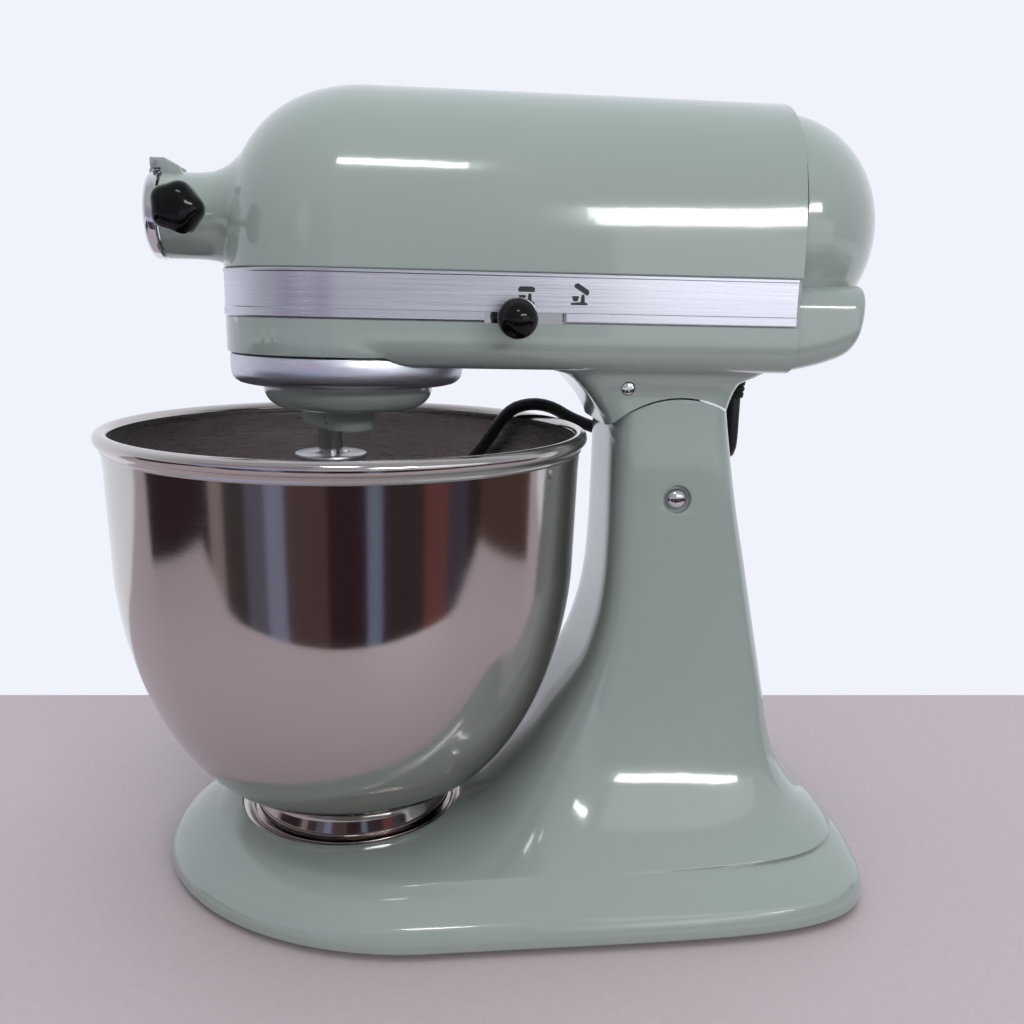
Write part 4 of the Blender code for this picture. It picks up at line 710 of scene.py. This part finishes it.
band_proud, band_back = 0.0004, seam_x - 0.002
band_section = [(-0.0008, band_low), (0.0001, band_low), (band_proud, band_low + 0.0004),
                (band_proud, band_low + 0.0036), (0.0, band_low + 0.0040), (0.0, band_high - 0.0016),
                (band_proud, band_high - 0.0012), (band_proud, band_high - 0.0003), (0.0001, band_high),
                (-0.0008, band_high)]
band = skin("band_strip",
            [[(x, y, z) for x, y in plan(head_half + out, band_back, 8)] for out, z in band_section],
            brushed_band, looped=True)
worked(band, [slot_tool("lock_notch", (lock_slot[0] + 0.0002, lock_slot[1] - 0.0002), -1),
              slot_tool("speed_notch", (speed_slot[0] + 0.0002, speed_slot[1] - 0.0002), 1)], crease=25)
belongs(band, "head", "brushed_trim", "trim_band")

print_black, tree, shader = surface("screen_print_black", "1B1B1D", 0.5)
ink_mm = 1.111
uneven_gloss(tree, shader, ink_mm, 0.42, 0.58)
sign_stand = [(-0.0034, 0), (0.0036, 0), (0.0036, 0.0006), (0.0024, 0.0012), (0.0022, 0.0042),
              (0.0010, 0.0042), (0.0006, 0.0012), (-0.0034, 0.0008)]
sign_head = [(-0.0030, 0.0048), (0.0036, 0.0048), (0.0036, 0.0064), (0.0026, 0.0070), (-0.0024, 0.0070),
             (-0.0034, 0.0060)]
sign_bowl = [(-0.0030, 0.0036), (0.0000, 0.0036), (-0.0004, 0.0018), (-0.0010, 0.0014), (-0.0020, 0.0014),
             (-0.0026, 0.0018)]
sign_half, sign_z = 0.00008, 0.2652
for name, sign_x, tip_up in (("head_down", 0.0752, 0.0), ("head_up", 0.0972, 32.0)):
    tip = math.radians(tip_up)
    turned_head = [(0.0016 + (x - 0.0016) * math.cos(tip) + (z - 0.0046) * math.sin(tip),
                    0.0046 - (x - 0.0016) * math.sin(tip) + (z - 0.0046) * math.cos(tip))
                   for x, z in sign_head]
    for part, outline in (("stand", sign_stand), ("head", turned_head), ("bowl", sign_bowl)):
        print_piece = prism(f"sign_{name}_{part}", [(sign_x + x, sign_z + z) for x, z in outline],
                            -head_half - sign_half, -head_half + 0.0002, print_black, UPRIGHT)
        belongs(print_piece, "head", "black_knobs")
for i in range(7):
    dot = lathe(f"speed_mark_{i + 1}", ((0, 0.0002), (0.0008, 0.0002), (0.0008, -sign_half),
                                        (0, -sign_half)), print_black,
                24, (0.050 + 0.0062 * i, head_half, sign_z + 0.002), TOWARDS_VIEWER)
    belongs(dot, "head", "black_knobs")

# ------------------------------------------------------------------ head lock and speed lever
# A plated steel slide behind each slot, with a ball knob screwed to its stem.
# The knobs are black phenolic mouldings, with the shine of the mould.
black_gloss, tree, shader = surface("phenolic_moulded_gloss", "070708", 0.10, IOR=1.45,
                                    Specular_IOR_Level=0.3)
place = add(tree, "ShaderNodeTexCoord")
flow_mm = 2.5
flow = add(tree, "ShaderNodeTexNoise", {"Scale": 1000 / flow_mm}, {"Vector": place.outputs["Object"]})
sink = add(tree, "ShaderNodeBump", {"Strength": 0.05, "Distance": 0.0002}, {"Height": flow.outputs["Fac"]})
tree.links.new(sink.outputs["Normal"], shader.inputs["Normal"])
lever_z, knob_radius, knob_y = 0.2595, 0.0082, 0.0662
dress(chrome, "lock_lever", "speed_lever")
for name, side, lever_x in (("lock", -1, 0.0707), ("speed", 1, 0.0482)):
    ball = [(knob_radius * math.sin(math.radians(a)), knob_radius * math.cos(math.radians(a)))
            for a in range(0, 150, 5)]
    ball += [(0.0038, -knob_radius + 0.0006), (0.0036, -knob_radius - 0.0002), (0, -knob_radius - 0.0002)]
    knob = lathe(f"{name}_ball_knob", ball, black_gloss, 64, (lever_x, side * knob_y, lever_z),
                 TOWARDS_VIEWER if side < 0 else ALONG_Y)
    belongs(knob, f"{name}_lever", "black_knobs", f"{name}_knob")

# ------------------------------------------------------------------ hub cover
# A cap on a small hinge that covers the attachment hub.
# It is pressed from sheet and chrome plated.
cover_front = hub_front - 0.0008
cover_line = [(0, 0.0062), (0.0140, 0.0060), (0.0165, 0.0054), (0.0180, 0.0044), (0.0186, 0.0032),
              (0.0187, 0.0004), (0.0184, 0.0), (0.0165, 0.0), (0.0160, 0.0030), (0, 0.0036)]
cap = lathe("hub_cap", cover_line, chrome, 96, (cover_front, 0, hub_z),
            Matrix.Rotation(-math.pi / 2, 3, "Y"))
cover_pivot = (-0.0797, 0.3210)
tab_outline = [(cover_pivot[0] - 0.0034, 0.3150), (cover_pivot[0] + 0.0010, 0.3150),
               *arc(*cover_pivot, 0.0021, -30, 180, 24), (cover_pivot[0] - 0.0034, 0.3180)]
belongs(worked(cap, joins=[prism("cap_tab", tab_outline, -0.0042, 0.0042, chrome, UPRIGHT)], edge=0.0003),
        "hub_cover", "chrome", "hub_cover")
dress(chrome, "hub_cover_pin")

# ------------------------------------------------------------------ attachment knob
# The clamping screw's knob, on a plated screw. It is a phenolic moulding with five shallow scallops
# round its edge and a domed face.
knob_x, knob_front, scallops = -0.0645, -0.0470, 5
rows = []
for along, size, depth in ((0.0140, 0.0062, 0.0), (0.0136, 0.0078, 0.02), (0.0126, 0.0094, 0.05),
                           (0.0112, 0.0104, 0.08), (0.0092, 0.0108, 0.10), (0.0070, 0.0108, 0.11),
                           (0.0052, 0.0106, 0.11), (0.0036, 0.0100, 0.10), (0.0023, 0.0089, 0.08),
                           (0.0013, 0.0074, 0.05), (0.0006, 0.0056, 0.02), (0.0002, 0.0034, 0.0),
                           (0.0, 0.0010, 0.0)):
    ring = []
    for i in range(140):
        angle = 2 * math.pi * i / 140
        radius = size * (1 - depth * (0.5 - 0.5 * math.cos(scallops * angle)))
        ring.append((knob_x + radius * math.cos(angle), knob_front + along,
                     hub_z + radius * math.sin(angle)))
    rows.append(ring)
grip = skin("attachment_grip", rows, black_gloss)
belongs(grip, "attachment_knob", "black_knobs", "attachment_knob")
screw = lathe("attachment_screw_plated", ((0, -0.0340), (0.0026, -0.0340), (0.0026, -0.0130),
                                          (0.0018, -0.0122), (0, -0.0122)),
              chrome, 32, (knob_x, 0, hub_z), ALONG_Y)
belongs(screw, "attachment_knob", "chrome")

# ------------------------------------------------------------------ drip ring
# A spun aluminium ring pressed on under the gearcase.
# It is brushed by turning, and its lower edge is rolled in.
ring_aluminium = turned_steel("aluminium_brushed_turned", "CFD1DC", 0.26, 0.42, 0.7, 0.15)
drip_low = 0.2284
drip_line = [(0.0418, front_z - 0.0004), (0.0512, front_z - 0.0004), (0.0519, front_z - 0.0007),
             (drip_radius, front_z - 0.0014), (drip_radius, drip_low + 0.0062),
             (drip_radius - 0.0003, drip_low + 0.0046), (0.0515, drip_low + 0.0030),
             (0.0504, drip_low + 0.0017), (0.0489, drip_low + 0.0007), (0.0470, drip_low + 0.0002),
             (0.0430, drip_low), (0.0398, drip_low), (0.0395, drip_low + 0.0003), (0.0395, 0.2345),
             (0.0418, 0.2350)]
belongs(lathe("drip_ring_brushed", drip_line, ring_aluminium, 160, looped=True), "head", "brushed_trim",
        "drip_ring")

# ------------------------------------------------------------------ planetary carrier
# An enamelled casting that turns under the head.
# It carries the agitator's shaft round the bowl.
carrier_line = [(0, 0.2346), (0.0374, 0.2346), (0.0383, 0.2342), (0.0386, 0.2334), (0.0386, 0.2268),
                (0.0382, 0.2242), (0.0371, 0.2219), (0.0354, 0.2198), (0.0332, 0.2183), (0.0305, 0.2172),
                (0.0275, 0.2167), (0, 0.2167)]
orbit, planet_angle = 0.027, math.radians(113.7)
planet = Vector((orbit * math.cos(planet_angle), orbit * math.sin(planet_angle), 0))
boss_centre, boss_shaft, boss_low = 0.0115, 0.0137, 0.2063
lean_angle = math.degrees(math.asin((boss_shaft - boss_centre) / orbit))
boss_levels = []
for grow, level in ((0.0034, 0.2172), (0.0016, 0.2163), (0.0005, 0.2150), (0.0, 0.2130),
                    (0.0, boss_low + 0.0012), (-0.0004, boss_low + 0.0004), (-0.0013, boss_low)):
    outline = [*arc(0, 0, boss_centre + grow, 90 + lean_angle, 270 - lean_angle, 32),
               *arc(orbit, 0, boss_shaft + grow, -90 - lean_angle, 90 + lean_angle, 40)]
    boss_levels.append([Matrix.Rotation(planet_angle, 3, "Z") @ Vector((x, y, level)) for x, y in outline])
carrier = lathe("planetary_casting", carrier_line, enamel, 144)
boss = skin("planetary_boss", boss_levels, enamel)
bores = [lathe(f"{name}_bore", ((0, 0.2), (radius, 0.2), (radius, 0.2120), (0, 0.2120)), enamel, 64, where)
         for name, radius, where in (("shaft", 0.0062, planet), ("centre", 0.0058, (0, 0, 0)))]
belongs(worked(carrier, bores, [boss], edge=0.0003, sharpest=50), "planetary", "green_enamel", "planetary")
machined, tree, shader = surface("steel_machined_bright", "C4C3C1", 0.16, 1.0)
place = add(tree, "ShaderNodeTexCoord")
mark_long_mm, turning_mm = 25.0, 0.5
draw = add(tree, "ShaderNodeMapping", {"Scale": (1000 / mark_long_mm, 1000 / mark_long_mm,
                                                 1000 / turning_mm)}, {"Vector": place.outputs["Object"]})
marks = add(tree, "ShaderNodeTexNoise", {"Scale": 1.0, "Detail": 2.0}, {"Vector": draw.outputs["Vector"]})
rough = add(tree, "ShaderNodeMapRange", {"To Min": 0.12, "To Max": 0.24}, {"Value": marks.outputs["Fac"]})
tree.links.new(rough.outputs["Result"], shader.inputs["Roughness"])
dress(machined, "centre_shaft", "centre_bevel_gear")
dress(chrome, "planetary_pin")

# ------------------------------------------------------------------ agitator shaft and dough hook
# A polished steel shaft with a cross pin that the hook's bayonet locks over. The hook is cast
# aluminium with a round collar, burnished to a satin shine.
satin_aluminium, tree, shader = surface("aluminium_cast_burnished", "B5B6B8", 0.3, 1.0)
grit_mm = 1.1
grit = uneven_gloss(tree, shader, grit_mm, 0.24, 0.40, detail=5.0)
dents = add(tree, "ShaderNodeBump", {"Strength": 0.12, "Distance": 0.0002}, {"Height": grit.outputs["Fac"]})
tree.links.new(dents.outputs["Normal"], shader.inputs["Normal"])

shaft_radius, shaft_low, pin_z = 0.0058, 0.172, 0.1875
shaft_line = ((0, 0.2440), (shaft_radius, 0.2440), (shaft_radius, shaft_low + 0.0008),
              (shaft_radius - 0.0008, shaft_low), (0, shaft_low))
belongs(lathe("agitator_spindle", shaft_line, machined, 64, planet), "agitator", "bowl_steel",
        "agitator_shaft")
dress(machined, "agitator_pinion")
dress(chrome, "agitator_pin")


def sweep(name, line, radii, material, sides=20):
    """A round bar along a line of points, its radius given at each point."""
    line = [Vector(p) for p in line]
    rows = []
    side = None
    for i, here in enumerate(line):
        ahead = (line[min(i + 1, len(line) - 1)] - line[max(i - 1, 0)]).normalized()
        side = ahead.orthogonal() if side is None else side - ahead * side.dot(ahead)
        side.normalize()
        across = ahead.cross(side)
        rows.append([here + (side * math.cos(2 * math.pi * k / sides) + across
                             * math.sin(2 * math.pi * k / sides)) * radii[i]
                     for k in range(sides)])
    return skin(name, rows, material)


def smooth_line(route, spacing):
    """Evenly spaced points on a smooth curve through a route's own points."""
    route = [Vector(p) for p in route]
    ends = [2 * route[0] - route[1], *route, 2 * route[-1] - route[-2]]
    fine = [0.5 * (2 * b + (c - a) * t + (2 * a - 5 * b + 4 * c - d) * t ** 2 + (3 * b - a - 3 * c + d)
                   * t ** 3)
            for a, b, c, d in zip(ends, ends[1:], ends[2:], ends[3:]) for t in (k / 24 for k in range(24))]
    fine.append(route[-1])
    total = sum((q - p).length for p, q in zip(fine, fine[1:]))
    count = max(2, round(total / spacing))
    line, walked = [fine[0]], 0.0
    for p, q in zip(fine, fine[1:]):
        step = (q - p).length
        while len(line) < count and walked + step >= len(line) * total / count:
            line.append(p.lerp(q, (len(line) * total / count - walked) / step))
        walked += step
    return [*line, fine[-1]]


collar_line = [(0, 0.1919), (0.0166, 0.1919), (0.0174, 0.1916), (0.0177, 0.1908), (0.0177, 0.1898),
               (0.0173, 0.1892), (0.0160, 0.1888), (0.0122, 0.1882), (0.0108, 0.1866), (0.0103, 0.1820),
               (0.0098, 0.1740), (0.0092, 0.1690), (0.0070, 0.1660), (0, 0.1655)]
hook = lathe("hook_collar", collar_line, satin_aluminium, 96, planet)
hook_side = planet_angle + math.radians(60)
hook_run = [(0.0, 0.176), (0.003, 0.164), (0.014, 0.153), (0.026, 0.139), (0.0325, 0.118), (0.031, 0.095),
            (0.022, 0.074), (0.006, 0.062), (-0.012, 0.0615)]
hook_line = smooth_line([planet + Vector((r * math.cos(hook_side), r * math.sin(hook_side), z)) for r,
                         z in hook_run], 0.0025)
taper = [0.0080 - 0.0018 * min(1.0, i / 8) - 0.0022 * max(0.0,
                                                          (i - len(hook_line) + 9) / 8) ** 2
         for i in range(len(hook_line))]
bend = sweep("hook_bend", hook_line, taper, satin_aluminium, 32)
key = prism("bayonet_slot", [(-0.0024, -0.0094), (0.0024, -0.0094), (0.0024, 0.0094), (-0.0024, 0.0094)],
            pin_z - 0.0024, 0.20,
            satin_aluminium, Matrix.Rotation(planet_angle, 3, "Z"), planet)
bore = lathe("hook_bore", ((0, shaft_low - 0.0004), (shaft_radius + 0.0003, shaft_low - 0.0004),
                           (shaft_radius + 0.0003, 0.2), (0, 0.2)), satin_aluminium, 64, planet)
belongs(worked(hook, [bore, key], [bend], edge=0.0003, sharpest=50), "agitator", "cast_aluminium",
        "dough_hook")

# ------------------------------------------------------------------ gear train and motor
# Inside the head: bronze worm wheel, steel gears and shafts, cast aluminium bulkheads, and the motor's
# iron, copper and carbon. They keep the CAD shapes and show only through the openings.
bronze, tree, shader = surface("bronze_hobbed", "A8814A", 0.3, 1.0)
place = add(tree, "ShaderNodeTexCoord")
cutter_marks = add(tree, "ShaderNodeTexWave", {"Scale": 900.0, "Distortion": 1.0},
                   {"Vector": place.outputs["Object"]})
rough = add(tree, "ShaderNodeMapRange", {"To Min": 0.25, "To Max": 0.40},
            {"Value": cutter_marks.outputs["Fac"]})
tree.links.new(rough.outputs["Result"], shader.inputs["Roughness"])
copper, tree, shader = surface("copper_turned", "C07A52", 0.28, 1.0)
place = add(tree, "ShaderNodeTexCoord")
bars = add(tree, "ShaderNodeTexWave", {"Scale": 700.0}, {"Vector": place.outputs["Object"]})
rough = add(tree, "ShaderNodeMapRange", {"To Min": 0.22, "To Max": 0.38}, {"Value": bars.outputs["Fac"]})
tree.links.new(rough.outputs["Result"], shader.inputs["Roughness"])
lamination, tree, shader = surface("iron_stacked_sheet", "4A4A4D", 0.45, 0.9)
place = add(tree, "ShaderNodeTexCoord")
sheet_pitch_mm = 1.0
stack = add(tree, "ShaderNodeTexWave", {"bands_direction": "X", "Scale": 1000 / sheet_pitch_mm / 6.28},
            {"Vector": place.outputs["Object"]})
edges = add(tree, "ShaderNodeBump", {"Strength": 0.4, "Distance": 0.0002}, {"Height": stack.outputs["Fac"]})
tree.links.new(edges.outputs["Normal"], shader.inputs["Normal"])
carbon, tree, shader = surface("carbon_pressed", "1E1E20", 0.55)
powder_mm = 0.4
uneven_gloss(tree, shader, powder_mm, 0.45, 0.65)
board, tree, shader = surface("paper_laminate_board", "8A6A3A", 0.5)
fibre_mm = 0.833
uneven_gloss(tree, shader, fibre_mm, 0.4, 0.6)
dress(bronze, "worm_wheel")
dress(copper, "commutator")
dress(lamination, "stator", "rotor")
dress(carbon, "brush_near", "brush_far")
dress(board, "control_board")
dress(black_gloss, "fan")
dress(satin_aluminium, "ring_gear", "front_bulkhead", "rear_bulkhead", "gear_bracket", "hub_shaft",
      "hub_gear")
dress(machined, "wheel_shaft", "armature_shaft")
dress(chrome, "front_bearing", "rear_bearing", "centre_bearing")

# ------------------------------------------------------------------ mains cord
# Two-core rubber cord, 6.5 mm thick: out of the gland under the head, round the far side of the column,
# over the bowl's rim, and laid in the bowl in a coil that ends in its plug.
cord_rubber, tree, shader = surface("cord_rubber_black", "101011", 0.48, Specular_IOR_Level=0.4)
talc_mm = 1.6
uneven_gloss(tree, shader, talc_mm, 0.40, 0.60, detail=4.0)
cord_radius = 0.00325
cord_exit = (0.1865, 0.0060, 0.2222)
route = [cord_exit, (0.1865, 0.0060, 0.2120), (0.1867, 0.0066, 0.2035), (0.1869, 0.0086, 0.1968),
         (0.1870, 0.0120, 0.1952), (0.1870, 0.0160, 0.1949), (0.1866, 0.0260, 0.1940),
         (0.1840, 0.0370, 0.1928), (0.1750, 0.0455, 0.1925), (0.1600, 0.0487, 0.1945),
         (0.1430, 0.0495, 0.1980), (0.1255, 0.0500, 0.2022), (0.1130, 0.0502, 0.2070),
         (0.1040, 0.0500, 0.2118), (0.0960, 0.0507, 0.2138), (0.0888, 0.0540, 0.2130),
         (0.0824, 0.0576, 0.2100), (0.0764, 0.0605, 0.2030), (0.0717, 0.0665, 0.1940),
         (0.0657, 0.0730, 0.1845), (0.0560, 0.0815, 0.1730), (0.0400, 0.0900, 0.1600),
         (0.0180, 0.0955, 0.1460), (-0.0060, 0.0955, 0.1330), (-0.0280, 0.0890, 0.1225),
         (-0.0460, 0.0800, 0.1135), (-0.0590, 0.0685, 0.1070)]
coil_start, coil_turns, coil_z, coil_radius, coil_pitch = 137.0, 1.71, 0.1013, 0.0912, 0.0067
coil_steps = 30
for i in range(coil_steps + 1):
    along = i / coil_steps
    angle = math.radians(coil_start + 8 + (coil_turns * 360 - 8) * along)
    radius = coil_radius - coil_pitch * coil_turns * along
    route.append((radius * math.cos(angle), radius * math.sin(angle),
                  coil_z + 0.0028 * max(0.0, 1 - 7 * along)))
plug_angle, plug_length, plug_radius, plug_z = math.radians(60), 0.036, 0.0085, 0.1134
plug_at = Vector((0.088 * math.cos(plug_angle), 0.088 * math.sin(plug_angle), plug_z))
plug_heading = plug_angle + math.pi / 2 + plug_length / 0.088 / 2
plug_way = Vector((math.cos(plug_heading), math.sin(plug_heading), 0))
for back, height in ((0.26, 0.1040), (0.16, 0.1090)):
    angle = plug_angle - back
    route.append((0.0850 * math.cos(angle), 0.0850 * math.sin(angle), height))
route.extend((plug_at - plug_way * 0.005, plug_at - plug_way * 0.0004))
cord_line = smooth_line(route, 0.004)
cord = sweep("mains_cord", cord_line, [cord_radius] * len(cord_line), cord_rubber, 16)
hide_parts("cord_head", "cord_run", "cord_coil", "cord_tail")
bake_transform(cord)

gland_line = [(0, 0.2400), (0.0055, 0.2400), (0.0055, 0.2330), (0.0052, 0.2318), (0.0046, 0.2312),
              (0.0052, 0.2304), (0.0050, 0.2290), (0.0044, 0.2284), (0.0050, 0.2276), (0.0048, 0.2262),
              (0.0042, 0.2256), (0.0047, 0.2248), (0.0044, 0.2232), (0.0040, 0.2226), (0, 0.2226)]
gland = lathe("gland_ribbed", gland_line, rubber, 48, (cord_exit[0], cord_exit[1], 0))
belongs(gland, "head", "black_rubber", "strain_relief")

# ------------------------------------------------------------------ plug
# A moulded rubber plug with a ribbed neck and two flat metal blades.
# It lies on the coil in the bowl.
plug_turn = Matrix.Rotation(plug_heading, 3, "Z") @ ALONG_X
plug_line = [(0, 0), (0.0046, 0), (0.0050, 0.0006), (0.0042, 0.0014), (0.0054, 0.0022), (0.0056, 0.0034),
             (0.0046, 0.0042), (0.0060, 0.0050), (0.0064, 0.0066), (0.0054, 0.0074), (0.0070, 0.0090),
             (0.0082, 0.0130), (plug_radius, 0.0150), (plug_radius, 0.0344), (0.0082, 0.0354),
             (0.0074, plug_length), (0, plug_length)]
plug = lathe("plug_body", plug_line, rubber, 64, plug_at, plug_turn)
belongs(plug, "stand", "black_rubber", "plug")
for name, aside in (("live", 0.00635), ("neutral", -0.00635)):
    side_way = Vector((-plug_way.y, plug_way.x, 0)) * aside
    outline = [(-0.0032, -0.00075), (0.0032, -0.00075), (0.0032, 0.00075), (-0.0032, 0.00075)]
    blade = worked(prism(f"plug_blade_{name}", outline, plug_length - 0.002, plug_length + 0.0150, bronze,
                         plug_turn,
                         plug_at + side_way), edge=0.0003)
    belongs(blade, "stand", "bronze")
